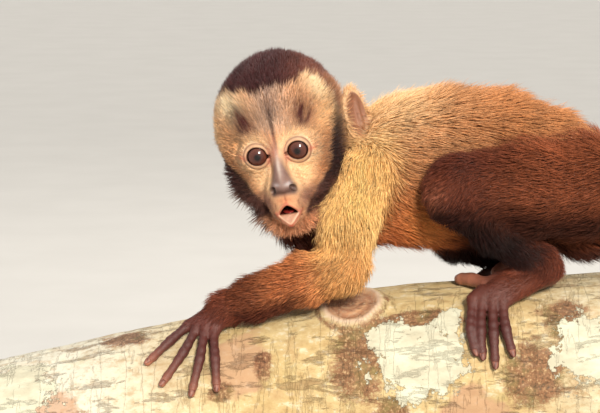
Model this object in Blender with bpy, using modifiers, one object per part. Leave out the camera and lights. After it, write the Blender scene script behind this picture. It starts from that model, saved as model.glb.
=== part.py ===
"""A juvenile tufted capuchin monkey, life size, crouched on a short length of branch on a display stand.

Each solid is a stretch of the body out to the tips of its coat. Neighbouring stretches meet with a hairline
gap. The face looks to -Y, the rump points to +X, and the stand's underside is at Z = 0.
Animal's left is the side nearest -Y.
"""
import math

import bmesh
import bpy
from mathutils import Matrix, Vector

MM = 0.001  # metres in a millimetre
GAP = 0.3  # mm left between solids that touch
VOXEL = 2.2  # mm, detail kept when blobs are merged
DIGIT_SIDES = 1  # bevel resolution of fingers and toes

# ---- driving dimensions, in millimetres ------------------------------------------------------------------

BASE_SIZE = (290.0, 196.0, 18.0)
BASE_EDGE = 3.0
ROD_RADIUS = 6.0
ROD_SIDES = 16
ROD_SPREAD = 95.0  # each rod's distance from the middle
ROD_IN_BASE = 11.0
ROD_IN_BRANCH = 26.0

BRANCH_RADIUS = 60.0
BRANCH_AXIS = ((-222.0, 99.7), (-11.0, 143.4), (148.0, 156.1), (222.0, 162.0))  # (x, z)
KNOT_PLACE = (3.0, 24.0)  # x, and degrees round the branch
KNOT_SIZE = (22.0, 14.0, 3.5)  # half length, half width, height over the bark
KNOT_ROOT = 20.0  # how deep the knot reaches into the branch

EYES_MIDDLE = (-42.0, -52.0, 293.6)
HEAD_YAW, HEAD_PITCH, HEAD_ROLL = -5.5, 6.0, -10.3
EYE_SPREAD = 11.9  # each eye from the middle of the face
EYE_RADIUS = 9.2
HEAD_MASSES = (  # centre in the head's axes, then half sizes
    ((0, 40, 14), (37.5, 44, 40)),  # skull and crown
    ((0, 17, 15), (31, 19, 15)),  # brow
    ((0, 17, -6), (28, 18, 24)),  # face
    ((0, 2, -24), (14.5, 14, 15)),  # muzzle
    ((0, 1, -32.5), (13, 13, 10)),  # lips
    ((0, 8, -39), (15, 12, 10.5)),  # chin
    ((0, 20, -32), (22.5, 20, 18)),  # jaw and its whiskers
)
PAIRED_MASSES = (  # given for the left of the face
    ((17, 23, -10), (17.5, 19, 22)),  # cheek
    ((25.5, 28, 9), (13, 20, 25)),  # temple
    ((15, 9, -20), (10, 10, 11)),  # cheek beside the muzzle
)
NOSE_BRIDGE = ((0, 4, 4), (0, -6.5, -17))
NOSE_RADIUS = 5.5
ORBIT_DEPTH = -2.5  # the middle of each orbit's dish, ahead of the eye's front
ORBIT_SIZE = (8.6, 6.5, 7.8)
MOUTH = (0, -13, -31)
MOUTH_SIZE = (5.6, 7.5, 3.2)
EARS = {  # sign, out, back, up, and degrees that it stands away from the head
    "left": (1, 43, 40, 7, 25),
    "right": (-1, 33.5, 49, 8, 8),
}
EAR_SIZE = (5.0, 12.5, 17.5)  # half its thickness, depth and height
EAR_CUP = (4.6, 9.0, 13.5)
EAR_CUP_SHIFT = (4.2, -2.0)  # outwards and backwards from the ear's middle
EAR_LEAN = -5.0

SIDES = ("left", "right")  # left is towards -Y

TRUNK_MASSES = (
    ((8, 0, 270), (31, 37, 40)),
    ((34, 0, 279), (46, 42, 47.5)),
    ((57, 0, 281), (46, 42.5, 49)),
    ((84, 0, 281), (44, 42.5, 48)),
    ((109, 0, 274), (42, 42, 45)),
    ((138, 0, 258), (33, 37, 35)),
)
TRUNK_CUTS = (34, 99)  # x where chest meets belly and belly meets rump
NECK_STATIONS = (((-12, 0, 288), 33), ((8, 0, 282), 34))
NAPE = (0, 54, -2)  # in the head's axes
NAPE_RADIUS = 27
THROAT_MASSES = (((-22, -4, 262), (22, 26, 22)), ((-30, 4, 245), (22, 24, 22)))

JOINTS = {
    "left": {
        "shoulder": (0, -29, 283), "elbow": (-4, -42, 228), "wrist": (-72, -27, 200),
        "hip": (135, -24, 271), "knee": (63, -47, 272), "ankle": (111, -29, 226),
    },
    "right": {
        "shoulder": (0, 29, 283), "elbow": (-8, 46, 226), "wrist": (-52, 57, 176),
        "hip": (135, 24, 271), "knee": (68, 44, 234), "ankle": (115, 34, 225),
    },
}

# Radii of the limbs from the body outwards, with the shares of their lengths between the joints
UPPER_ARM_RADII = (25, 20, 16.5)
UPPER_ARM_WAIST = 0.55
FOREARM_RADII = (17, 17.5, 16, 14)
FOREARM_SHARES = (0.3, 0.75)
PALM_RADII = (9, 4.4)
THUMB_BASE_RADII = (8.5, 5.2)
THIGH_RADII = (33, 30)
THIGH_WAIST = 0.45
KNEE_RADIUS = {"left": 24, "right": 21}
SHIN_RADII = (20, 13)
CALF = 0.4
INSTEP_RADII = (10.5, 4.8)
SOLE_RADII = (8.5, 4.8)
HEEL_RADII = (11, 8.5)
BIG_TOE_BASE_RADII = (9.5, 6)

# A digit runs through places on the branch: x along it, degrees round it, and height over the bark.
# Degrees count from the top towards the animal's left.
FINGERS = {
    "left": {
        "thumb": ((-74, 4, 10), (-81, -10, 7), (-88, -22, 4)),
        "index": ((-84, 20, 11), (-93.5, 22, 8.6), (-104, 28.5, 6), (-117, 38.7, 3.2)),
        "middle": ((-80, 22, 11), (-88, 25, 8.8), (-96, 38.5, 5.8), (-108, 53.6, 3.2)),
        "ring": ((-77, 23.5, 11), (-83.4, 27.5, 8.7), (-86.5, 45, 5.8), (-91, 62.5, 3.2)),
        "little": ((-73, 25, 10), (-78.5, 29.5, 7.6), (-77.6, 46.5, 5.4), (-76.6, 62.5, 3.1)),
    },
    "right": {
        "thumb": ((-61, -53, 10), (-70, -49, 7), (-79, -50, 4)),
        "index": ((-61, -65, 11), (-67, -71, 8.4), (-76, -84, 5.6), (-82, -99, 3.2)),
        "middle": ((-57, -67, 11), (-62, -73, 8.4), (-68, -90, 5.6), (-70, -108, 3.2)),
        "ring": ((-53, -68, 11), (-56, -74, 8.4), (-58, -92, 5.6), (-58, -109, 3.2)),
        "little": ((-49, -67, 10), (-49, -73, 7.6), (-48, -87, 5.4), (-47, -101, 3.1)),
    },
}
TOES = {
    "left": {
        "big": ((84, 23, 10), (79, 21.5, 8.5), (71.5, 14, 7.4), (64.5, 7, 5.4)),
        "second": ((76, 29, 11), (71, 33, 8.4), (68.4, 49, 5.6), (71, 62, 3.6)),
        "third": ((81, 30, 11), (76.2, 34, 8.4), (74.2, 51, 5.7), (75, 64.5, 3.6)),
        "fourth": ((86, 31, 11), (81.9, 35, 8.4), (81.5, 53, 5.7), (82, 69.5, 3.6)),
        "fifth": ((91, 32, 10), (87.7, 36, 7.8), (88.7, 51, 5.4), (92, 64, 3.5)),
    },
    "right": {
        "big": ((101, -20, 10), (96, -17, 8), (91, -10, 6.4), (87, -3, 4.6)),
        "second": ((84, -36, 11), (78, -40, 8.4), (75, -55, 5.6), (76, -66, 3.6)),
        "third": ((88, -37, 11), (83.5, -41, 8.4), (82, -58, 5.7), (82, -71, 3.6)),
        "fourth": ((93, -38, 11), (89.5, -42, 8.4), (89.5, -59, 5.7), (89.5, -74, 3.6)),
        "fifth": ((98, -39, 10), (96, -43, 7.8), (96.6, -58, 5.4), (98, -69, 3.5)),
    },
}
HEELS = {"left": (115, 22, 14), "right": (119, -31, 11)}
FINGER_RADII = (3.7, 3.0)  # at the root and near the tip
TOE_RADII = (4.2, 3.4)
BIG_TOE_GIRTH = 1.3  # against the other toes
TIP_BEGINS = 0.72  # share of a digit's length where its round end begins

TAIL_RADII = (13.0, 8.0)
TAIL_ROOT = ((158, 4, 264), (176, 8, 258), (192, 16, 243), (202, 29, 227))
TAIL_WRAP = (-40, -246)  # degrees round the branch where the coil begins and ends
TAIL_WRAP_STEPS = 10
TAIL_WRAP_X = (206, 180)
TAIL_HEIGHTS = (14.0, 9.4)  # of its middle line over the bark
TAIL_TIP_BEGINS = 0.8
TAIL_LENGTHS = 4
TAIL_POINTS = 6  # along each length

# ---- materials ------------------------------------------------------------------------------------------

COAT_COLOURS = {
    "gold": (0.52, 0.28, 0.09),
    "umber": (0.12, 0.05, 0.03),
    "cap": (0.10, 0.055, 0.045),
}
BARE_SKIN = (0.13, 0.07, 0.065)


def principled(name, colour, roughness, metallic=0.0):
    material = bpy.data.materials.get(name)
    if material:
        return material
    material = bpy.data.materials.new(name)
    material.use_nodes = True
    shader = material.node_tree.nodes["Principled BSDF"]
    shader.inputs["Base Color"].default_value = (*colour, 1.0)
    shader.inputs["Roughness"].default_value = roughness
    shader.inputs["Metallic"].default_value = metallic
    material.diffuse_color = (*colour, 1.0)
    return material


def coat(colour):
    return principled("coat_" + colour, COAT_COLOURS[colour], 0.75)


def bare_skin():
    return principled("bare_skin", BARE_SKIN, 0.55)


# ---- scene and mesh helpers -----------------------------------------------------------------------------


def clear_scene():
    for thing in list(bpy.data.objects):
        bpy.data.objects.remove(thing, do_unlink=True)


def new_collection(name):
    made = bpy.data.collections.new(name)
    bpy.context.scene.collection.children.link(made)
    return made


def between(ends, share):
    return ends[0] + (ends[1] - ends[0]) * share


def mm(*place):
    return Vector(place[0] if len(place) == 1 else place) * MM


def evaluated_mesh(thing):
    bpy.context.view_layer.update()
    graph = bpy.context.evaluated_depsgraph_get()
    return bpy.data.meshes.new_from_object(thing.evaluated_get(graph))


def bake(thing):
    """Replaces the object's mesh with what its modifiers make of it."""
    mesh = evaluated_mesh(thing)
    thing.modifiers.clear()
    thing.data = mesh


def object_from(bm, name, collection, material=None):
    mesh = bpy.data.meshes.new(name)
    bm.normal_update()
    bm.to_mesh(mesh)
    bm.free()
    thing = bpy.data.objects.new(name, mesh)
    collection.objects.link(thing)
    if material:
        mesh.materials.append(material)
    return thing


def hide_cutter(thing):
    thing.hide_render = True
    thing.display_type = "WIRE"
    return thing


def islands_of(bm):
    """The connected groups of faces in the mesh, largest first."""
    left = set(bm.faces)
    found = []
    while left:
        stack = [left.pop()]
        group = set(stack)
        while stack:
            for edge in stack.pop().edges:
                for face in edge.link_faces:
                    if face in left:
                        left.discard(face)
                        group.add(face)
                        stack.append(face)
        found.append(group)
    return sorted(found, key=len, reverse=True)


def keep_largest_body(thing):
    """Drops crumbs that a carve leaves where two curved surfaces graze each other."""
    bm = bmesh.new()
    bm.from_mesh(thing.data)
    bm.faces.ensure_lookup_table()
    for group in islands_of(bm)[1:]:
        bmesh.ops.delete(bm, geom=list(group), context="FACES")
    bm.to_mesh(thing.data)
    bm.free()


def add_blob(bm, centre, radii, turn=None, segments=24):
    """An ellipsoid: centre and radii in mm, turned by a matrix about its centre."""
    place = Matrix.Translation(mm(centre)) @ (turn or Matrix.Identity(4)) @ Matrix.Diagonal((*mm(radii), 1.0))
    bmesh.ops.create_uvsphere(bm, u_segments=segments, v_segments=segments // 2, radius=1.0, matrix=place)


def add_bone(bm, start, end, start_radius, end_radius):
    """A tapered rod with round ends."""
    start, end = mm(start), mm(end)
    run = end - start
    place = Matrix.Translation((start + end) / 2) @ run.to_track_quat("Z", "Y").to_matrix().to_4x4()
    bmesh.ops.create_cone(
        bm, cap_ends=True, segments=20, radius1=start_radius * MM, radius2=end_radius * MM,
        depth=run.length, matrix=place,
    )
    for centre, radius in ((start, start_radius), (end, end_radius)):
        bmesh.ops.create_uvsphere(
            bm, u_segments=20, v_segments=12, radius=radius * MM, matrix=Matrix.Translation(centre)
        )


def add_chain(bm, stations):
    """Tapered rods through (place, radius) stations."""
    for (start, start_radius), (end, end_radius) in zip(stations, stations[1:]):
        add_bone(bm, start, end, start_radius, end_radius)


def merged(bm, name, material, triangles, smoothing=4):
    """Melts the overlapping blobs into one smooth closed body of about so many triangles."""
    thing = object_from(bm, name, parts, material)
    remesh = thing.modifiers.new("Melt", "REMESH")
    remesh.mode = "VOXEL"
    remesh.voxel_size = VOXEL * MM
    soften = thing.modifiers.new("Soften", "SMOOTH")
    soften.factor = 0.5
    soften.iterations = smoothing
    bake(thing)
    thin = thing.modifiers.new("Thin", "DECIMATE")
    thin.ratio = min(1.0, triangles / (2 * len(thing.data.polygons)))
    thin.use_collapse_triangulate = True
    bake(thing)
    thing.data.materials.clear()
    thing.data.materials.append(material)
    return thing


def swollen(thing, by=GAP):
    """A hidden copy of a solid, larger by a hairline all round, to carve its neighbours with."""
    copy = bpy.data.objects.new("cut_" + thing.name, thing.data.copy())
    cutters.objects.link(copy)
    swell = copy.modifiers.new("Swell", "DISPLACE")
    swell.strength = by * MM
    swell.mid_level = 0.0
    bake(copy)
    return hide_cutter(copy)


def is_closed(mesh):
    """Whether the mesh has faces and each edge joins exactly two of them."""
    bm = bmesh.new()
    bm.from_mesh(mesh)
    closed = len(bm.faces) > 0 and all(len(edge.link_faces) == 2 for edge in bm.edges)
    bm.free()
    return closed


def carve(thing, *cutting):
    """Cuts the cutters from the solid one by one, with the manifold solver if the exact one leaves holes."""
    for cutter in cutting:
        before = thing.data
        for solver in ("EXACT", "MANIFOLD"):
            thing.data = before
            cut = thing.modifiers.new("Carve", "BOOLEAN")
            cut.operation = "DIFFERENCE"
            cut.solver = solver
            cut.object = cutter
            bake(thing)
            if is_closed(thing.data):
                break
        keep_largest_body(thing)
    return thing


def tube(name, places, radii, material, sides=DIGIT_SIDES, resolution=2):
    """A closed mesh tube through places (mm), smoothed, with its radius running between the given radii."""
    curve = bpy.data.curves.new(name, "CURVE")
    curve.dimensions = "3D"
    curve.bevel_depth = MM
    curve.bevel_resolution = sides
    curve.use_fill_caps = True
    route = smooth_route([Vector(place) for place in places], resolution)
    spline = curve.splines.new("POLY")
    spline.points.add(len(route) - 1)
    for index, (point, place) in enumerate(zip(spline.points, route)):
        point.co = (*mm(place), 1.0)
        point.radius = tube_radius(radii, index / (len(route) - 1))
    guide = bpy.data.objects.new(name + "_guide", curve)
    parts.objects.link(guide)
    thing = bpy.data.objects.new(name, evaluated_mesh(guide))
    parts.objects.link(thing)
    bpy.data.objects.remove(guide, do_unlink=True)
    bm = bmesh.new()
    bm.from_mesh(thing.data)
    bmesh.ops.remove_doubles(bm, verts=bm.verts, dist=0.02 * MM)
    bmesh.ops.recalc_face_normals(bm, faces=bm.faces)
    bm.to_mesh(thing.data)
    bm.free()
    thing.data.materials.clear()
    thing.data.materials.append(material)
    return thing


def tube_radius(radii, share):
    """Radius at a share of the length; a third entry in radii is the share where the round tip begins."""
    radius = radii[0] + (radii[1] - radii[0]) * share
    if len(radii) < 3 or share <= radii[2]:
        return radius
    past = (share - radii[2]) / (1.0 - radii[2])
    return radius * math.sqrt(max(1.0 - 0.86 * past * past, 0.0))


def smooth_route(places, steps):
    """Points on a Catmull-Rom curve through the places."""
    ends = [places[0] * 2 - places[1], *places, places[-1] * 2 - places[-2]]
    route = []
    for a, b, c, d in zip(ends, ends[1:], ends[2:], ends[3:]):
        for step in range(steps):
            t = step / steps
            bend = (2 * a - 5 * b + 4 * c - d) * t ** 2 + (3 * b - 3 * c + d - a) * t ** 3
            route.append(0.5 * (2 * b + (c - a) * t + bend))
    return [*route, places[-1]]


# ---- places on the branch -------------------------------------------------------------------------------


def branch_height(x):
    """Z of the branch's middle line at x."""
    for (x0, z0), (x1, z1) in zip(BRANCH_AXIS, BRANCH_AXIS[1:]):
        if x <= x1:
            break
    return z0 + (z1 - z0) * (x - x0) / (x1 - x0)


def on_branch(x, degrees, height):
    """The place at a height over the bark, degrees from the branch's top towards the animal's left."""
    angle = math.radians(degrees)
    reach = BRANCH_RADIUS + height
    return Vector((x, -reach * math.sin(angle), branch_height(x) + reach * math.cos(angle)))


# ---- perch and stand ------------------------------------------------------------------------------------


def make_branch():
    bark = principled("bark", (0.62, 0.52, 0.34), 0.85)
    places = []
    for (x0, z0), (x1, z1) in zip(BRANCH_AXIS, BRANCH_AXIS[1:]):
        places += [Vector((x0 + (x1 - x0) * step / 3, 0, z0 + (z1 - z0) * step / 3)) for step in range(3)]
    places.append(Vector((BRANCH_AXIS[-1][0], 0, BRANCH_AXIS[-1][1])))
    branch = tube("perch_branch", places, (BRANCH_RADIUS, BRANCH_RADIUS), bark, sides=6, resolution=1)
    bm = bmesh.new()
    x, degrees = KNOT_PLACE
    half_length, half_width, rise = KNOT_SIZE
    lean = Matrix.Rotation(math.radians(degrees), 4, "X") @ Matrix.Rotation(math.radians(-6), 4, "Y")
    scale = Matrix.Diagonal((half_length * MM, half_width * MM, 1.0, 1.0))
    centre = on_branch(x, degrees, (rise - KNOT_ROOT) / 2)
    bmesh.ops.create_cone(
        bm, cap_ends=True, segments=24, radius1=1.15, radius2=1.0, depth=(rise + KNOT_ROOT) * MM,
        matrix=Matrix.Translation(mm(centre)) @ lean @ scale,
    )
    knot = hide_cutter(object_from(bm, "join_knot", cutters))
    join = branch.modifiers.new("Knot", "BOOLEAN")
    join.operation = "UNION"
    join.object = knot
    bake(branch)
    for rod_x in (-ROD_SPREAD, ROD_SPREAD):
        low = branch_height(rod_x) - BRANCH_RADIUS - 30.0
        high = rod_top(rod_x) + GAP
        carve(branch, round_cutter("drill_branch", rod_x, low, high))
    return branch


def round_cutter(name, x, low, high):
    bm = bmesh.new()
    radius = (ROD_RADIUS + GAP) * MM
    bmesh.ops.create_cone(
        bm, cap_ends=True, segments=ROD_SIDES, radius1=radius, radius2=radius,
        depth=(high - low) * MM, matrix=Matrix.Translation(mm(x, 0, (low + high) / 2)),
    )
    return hide_cutter(object_from(bm, name, cutters))


def rod_top(x):
    return branch_height(x) - BRANCH_RADIUS + ROD_IN_BRANCH


def make_stand():
    wood = principled("stand_wood", (0.16, 0.09, 0.05), 0.45)
    steel = principled("stand_steel", (0.55, 0.55, 0.56), 0.3, 1.0)
    bm = bmesh.new()
    size = Matrix.Diagonal((*mm(BASE_SIZE), 1.0))
    bmesh.ops.create_cube(bm, size=1.0, matrix=Matrix.Translation(mm(0, 0, BASE_SIZE[2] / 2)) @ size)
    base = object_from(bm, "stand_base", parts, wood)
    edge = base.modifiers.new("Edge", "BEVEL")
    edge.width = BASE_EDGE * MM
    edge.segments = 2
    bake(base)
    floor_of_socket = BASE_SIZE[2] - ROD_IN_BASE
    for side, x in (("left", -ROD_SPREAD), ("right", ROD_SPREAD)):
        carve(base, round_cutter("drill_base", x, floor_of_socket - GAP, BASE_SIZE[2] + 5))
        low, high = floor_of_socket, rod_top(x)
        bm = bmesh.new()
        bmesh.ops.create_cone(
            bm, cap_ends=True, segments=ROD_SIDES, radius1=ROD_RADIUS * MM, radius2=ROD_RADIUS * MM,
            depth=(high - low) * MM, matrix=Matrix.Translation(mm(x, 0, (low + high) / 2)),
        )
        object_from(bm, "stand_rod_" + side, parts, steel)


# ---- head -----------------------------------------------------------------------------------------------


def head_frame():
    """Head axes: X to the animal's left, Y backwards, Z up; the origin is midway between the eyes."""
    turn = Matrix.Rotation(math.radians(HEAD_YAW), 4, "Z")
    turn = turn @ Matrix.Rotation(math.radians(HEAD_PITCH), 4, "X")
    return turn @ Matrix.Rotation(math.radians(HEAD_ROLL), 4, "Y")


def in_head(side, back, up):
    """A place in the head's own axes, in world mm."""
    return Vector(EYES_MIDDLE) + head_frame() @ Vector((side, back, up))


def make_head():
    turn = head_frame()
    bm = bmesh.new()
    for centre, radii in HEAD_MASSES:
        add_blob(bm, in_head(*centre), radii, turn)
    for (out, back, up), radii in PAIRED_MASSES:
        for side in (-1, 1):
            add_blob(bm, in_head(side * out, back, up), radii, turn)
    add_bone(bm, in_head(*NOSE_BRIDGE[0]), in_head(*NOSE_BRIDGE[1]), NOSE_RADIUS, NOSE_RADIUS)
    head = merged(bm, "head", coat("cap"), 680, smoothing=3)
    holes = bmesh.new()
    for side in (-1, 1):
        add_blob(holes, in_head(side * EYE_SPREAD, ORBIT_DEPTH, 0), ORBIT_SIZE, turn, 12)
    orbits = hide_cutter(object_from(holes, "cut_orbits", cutters))
    eyes = []
    for name, side in (("left", 1), ("right", -1)):
        ball = bmesh.new()
        place = Matrix.Translation(mm(in_head(side * EYE_SPREAD, EYE_RADIUS, 0)))
        place = place @ turn @ Matrix.Rotation(math.radians(90), 4, "X")
        bmesh.ops.create_uvsphere(ball, u_segments=12, v_segments=8, radius=EYE_RADIUS * MM, matrix=place)
        eyes.append(object_from(ball, "eye_" + name, parts, principled("eye", (0.06, 0.025, 0.012), 0.08)))
    mouth = bmesh.new()
    add_blob(mouth, in_head(*MOUTH), MOUTH_SIZE, turn, 12)
    lips = hide_cutter(object_from(mouth, "cut_mouth", cutters))
    carve(head, orbits)
    carve(head, *(swollen(eye) for eye in eyes))
    carve(head, lips)
    return head


def make_ears(neighbours):
    skin = principled("ear_skin", (0.38, 0.2, 0.14), 0.6)
    ears = {}
    for name, (side, out, back, up, spread) in EARS.items():
        flare = head_frame() @ Matrix.Rotation(math.radians(side * -spread), 4, "Z")
        flare = flare @ Matrix.Rotation(math.radians(side * EAR_LEAN), 4, "Y")
        centre = Vector((side * out, back, up))
        bm = bmesh.new()
        add_blob(bm, in_head(*centre), EAR_SIZE, flare, 12)
        ear = object_from(bm, "ear_" + name, parts, skin)
        hollow = bmesh.new()
        offset = flare.to_3x3() @ Vector((side * EAR_CUP_SHIFT[0], EAR_CUP_SHIFT[1], 0))
        add_blob(hollow, in_head(*centre) + offset, EAR_CUP, flare, 10)
        cup = hide_cutter(object_from(hollow, "cut_ear_" + name, cutters))
        ears[name] = swollen(ear)
        carve(ear, cup, *neighbours)
    return ears


# ---- trunk, neck and tail -------------------------------------------------------------------------------


def make_trunk():
    """The trunk is melted in one and parted by thin cuts into chest, belly and rump."""
    bm = bmesh.new()
    for centre, radii in TRUNK_MASSES:
        add_blob(bm, centre, radii)
    whole = merged(bm, "trunk", coat("gold"), 460)
    knives = bmesh.new()
    for x in TRUNK_CUTS:
        flat = Matrix.Diagonal(((GAP + 0.1) * MM, 140 * MM, 160 * MM, 1.0))
        bmesh.ops.create_cube(knives, size=1.0, matrix=Matrix.Translation(mm(x, 0, 278)) @ flat)
    knife = hide_cutter(object_from(knives, "cut_trunk", cutters))
    cut = whole.modifiers.new("Part", "BOOLEAN")
    cut.object = knife
    bake(whole)
    pieces = {}
    bm = bmesh.new()
    bm.from_mesh(whole.data)
    bm.faces.ensure_lookup_table()
    groups = [{face.index for face in group} for group in islands_of(bm)]
    groups.sort(key=lambda group: min(bm.faces[index].calc_center_median().x for index in group))
    bm.free()
    for name, group in zip(("chest", "belly", "rump"), groups):
        piece = bmesh.new()
        piece.from_mesh(whole.data)
        piece.faces.ensure_lookup_table()
        spare = [face for face in piece.faces if face.index not in group]
        bmesh.ops.delete(piece, geom=spare, context="FACES")
        colour = "gold" if name != "rump" else "umber"
        pieces[name] = object_from(piece, name, parts, coat(colour))
    bpy.data.objects.remove(whole, do_unlink=True)
    return pieces


def make_neck(neighbours):
    bm = bmesh.new()
    add_chain(bm, ((in_head(*NAPE), NAPE_RADIUS), *NECK_STATIONS))
    for centre, radii in THROAT_MASSES:
        add_blob(bm, centre, radii)
    neck = merged(bm, "neck", coat("gold"), 170)
    cutter = swollen(neck)
    carve(neck, *neighbours)
    return cutter


def tail_route():
    """From the rump out past the branch's end of the body, over the branch and once round under it."""
    places = [Vector(place) for place in TAIL_ROOT]
    for step in range(TAIL_WRAP_STEPS + 1):
        share = step / TAIL_WRAP_STEPS
        x = between(TAIL_WRAP_X, math.sin(share * math.pi / 2))
        places.append(on_branch(x, between(TAIL_WRAP, share), between(TAIL_HEIGHTS, share)))
    return smooth_route(places, 4)


def make_tail(neighbours):
    route = tail_route()
    run = [0.0]
    for a, b in zip(route, route[1:]):
        run.append(run[-1] + (b - a).length)

    def at(share):
        """The route's place at a share of its length."""
        goal = share * run[-1]
        for index in range(1, len(run)):
            if run[index] >= goal:
                break
        part = (goal - run[index - 1]) / (run[index] - run[index - 1])
        return route[index - 1].lerp(route[index], part)

    gap = GAP / run[-1]
    for length in range(TAIL_LENGTHS):
        ends = (length / TAIL_LENGTHS + gap, (length + 1) / TAIL_LENGTHS - gap)
        places = [at(between(ends, point / TAIL_POINTS)) for point in range(TAIL_POINTS + 1)]
        radii = [between(TAIL_RADII, (length + end) / TAIL_LENGTHS) for end in (0, 1)]
        if length == TAIL_LENGTHS - 1:
            radii.append(TAIL_TIP_BEGINS)
        piece = tube(f"tail_{length + 1}", places, radii, coat("umber"), sides=2, resolution=1)
        cutter = swollen(piece)
        carve(piece, *neighbours)
        neighbours = (cutter,)


# ---- limbs ----------------------------------------------------------------------------------------------


def add_digits(limb, digits, radii, around):
    """Each digit is a tube a hairline clear of the palm or sole, the bark and the digit before it."""
    beside = ()
    for name, places in digits.items():
        route = [on_branch(*place) for place in places]
        girth = BIG_TOE_GIRTH if name == "big" else 1
        root, end = (radius * girth for radius in radii)
        digit = tube(f"{limb}_{name}", route, (root, end, TIP_BEGINS), bare_skin())
        cutter = swollen(digit)
        carve(digit, *around, *beside)
        beside = (cutter,)


def make_arm(side, shoulder_cutters, branch_cutter):
    joints = {name: Vector(place) for name, place in JOINTS[side].items()}
    bm = bmesh.new()
    waist = joints["shoulder"].lerp(joints["elbow"], UPPER_ARM_WAIST)
    add_chain(bm, tuple(zip((joints["shoulder"], waist, joints["elbow"]), UPPER_ARM_RADII)))
    upper = merged(bm, "upper_arm_" + side, coat("gold"), 120)
    upper_cutter = swollen(upper)
    carve(upper, *shoulder_cutters)
    elbow, wrist = joints["elbow"], joints["wrist"]
    bm = bmesh.new()
    middle = [elbow.lerp(wrist, share) for share in FOREARM_SHARES]
    add_chain(bm, tuple(zip((elbow, *middle, wrist), FOREARM_RADII)))
    forearm = merged(bm, "forearm_" + side, coat("umber"), 140)
    forearm_cutter = swollen(forearm)
    carve(forearm, upper_cutter, *shoulder_cutters, branch_cutter)
    digits = FINGERS[side]
    knuckles = {name: on_branch(*digits[name][1]) for name in ("index", "middle", "ring", "little")}
    bm = bmesh.new()
    for name in knuckles:
        add_bone(bm, wrist, knuckles[name], *PALM_RADII)
    add_bone(bm, wrist, on_branch(*digits["thumb"][0]), *THUMB_BASE_RADII)
    hand = merged(bm, "hand_" + side, bare_skin(), 150, smoothing=2)
    hand_cutter = swollen(hand)
    carve(hand, forearm_cutter, branch_cutter)
    add_digits("hand_" + side, digits, FINGER_RADII, (hand_cutter, forearm_cutter, branch_cutter))


def make_leg(side, trunk_cutters, branch_cutter):
    joints = {name: Vector(place) for name, place in JOINTS[side].items()}
    hip, knee, ankle = joints["hip"], joints["knee"], joints["ankle"]
    bm = bmesh.new()
    add_chain(bm, tuple(zip((hip, hip.lerp(knee, THIGH_WAIST), knee), (*THIGH_RADII, KNEE_RADIUS[side]))))
    thigh = merged(bm, "thigh_" + side, coat("umber"), 150)
    thigh_cutter = swollen(thigh)
    carve(thigh, *trunk_cutters)
    bm = bmesh.new()
    add_chain(bm, tuple(zip((knee, knee.lerp(ankle, CALF), ankle), (KNEE_RADIUS[side] - 1, *SHIN_RADII))))
    shin = merged(bm, "shin_" + side, coat("umber"), 140)
    shin_cutter = swollen(shin)
    carve(shin, thigh_cutter, *trunk_cutters, branch_cutter)
    toes = TOES[side]
    roots = {name: on_branch(*toes[name][1]) for name in ("second", "third", "fourth", "fifth")}
    heel = on_branch(*HEELS[side])
    bm = bmesh.new()
    for name in roots:
        add_bone(bm, ankle, roots[name], *INSTEP_RADII)
        add_bone(bm, heel, roots[name], *SOLE_RADII)
    add_bone(bm, ankle, heel, *HEEL_RADII)
    add_bone(bm, ankle.lerp(heel, 0.5), on_branch(*toes["big"][0]), *BIG_TOE_BASE_RADII)
    foot = merged(bm, "foot_" + side, bare_skin(), 160, smoothing=2)
    foot_cutter = swollen(foot)
    carve(foot, shin_cutter, branch_cutter)
    add_digits("foot_" + side, toes, TOE_RADII, (foot_cutter, shin_cutter, branch_cutter))
    return thigh_cutter


# ---- assembly -------------------------------------------------------------------------------------------

clear_scene()
parts = new_collection("capuchin_monkey")
cutters = new_collection("cutters")
branch = make_branch()
make_stand()
branch_cutter = swollen(branch)
head_cutter = swollen(make_head())
trunk = make_trunk()
carve(trunk["chest"], head_cutter)
trunk_cutters = [swollen(trunk[name]) for name in ("chest", "belly", "rump")]
neck_cutter = make_neck((trunk_cutters[0], head_cutter))
ear_cutters = make_ears((head_cutter, neck_cutter, trunk_cutters[0]))
thigh_cutters = []
for side in SIDES:
    near_shoulder = (trunk_cutters[0], trunk_cutters[1], neck_cutter, head_cutter, ear_cutters[side])
    make_arm(side, near_shoulder, branch_cutter)
    thigh_cutters.append(make_leg(side, trunk_cutters, branch_cutter))
make_tail((trunk_cutters[2], *thigh_cutters))
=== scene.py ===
"""Looks of the capuchin monkey model: skin, coat, eyes, nails, bark and stand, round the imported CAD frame.

Shapes are worked out in millimetres in the frame's own axes and become metres when a mesh is made.
The body is one distance function: a list of soft masses over the same joints as the CAD solids, each
smaller by the depth of the coat. The skin is its surface, and the coat grows on it.
"""

import math

import bmesh
import bpy
import numpy as np
import openvdb
from mathutils import Matrix, Vector, kdtree


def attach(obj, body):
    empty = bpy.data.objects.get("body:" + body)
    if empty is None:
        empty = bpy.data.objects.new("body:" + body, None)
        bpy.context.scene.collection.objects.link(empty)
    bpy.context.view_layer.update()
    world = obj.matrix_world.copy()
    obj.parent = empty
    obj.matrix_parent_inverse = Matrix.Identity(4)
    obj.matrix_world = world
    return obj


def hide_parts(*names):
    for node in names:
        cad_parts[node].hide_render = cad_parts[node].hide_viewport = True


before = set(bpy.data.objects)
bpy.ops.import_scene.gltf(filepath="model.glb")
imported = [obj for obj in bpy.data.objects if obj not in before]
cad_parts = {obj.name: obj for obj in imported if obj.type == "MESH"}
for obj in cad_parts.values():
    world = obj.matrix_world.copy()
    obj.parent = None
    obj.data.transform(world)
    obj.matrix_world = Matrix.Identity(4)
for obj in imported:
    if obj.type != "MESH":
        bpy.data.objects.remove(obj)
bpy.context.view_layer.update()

MM = 0.001
SEED = 20

# ---- the pose, as in the CAD: millimetres and degrees ----------------------------------------

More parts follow.
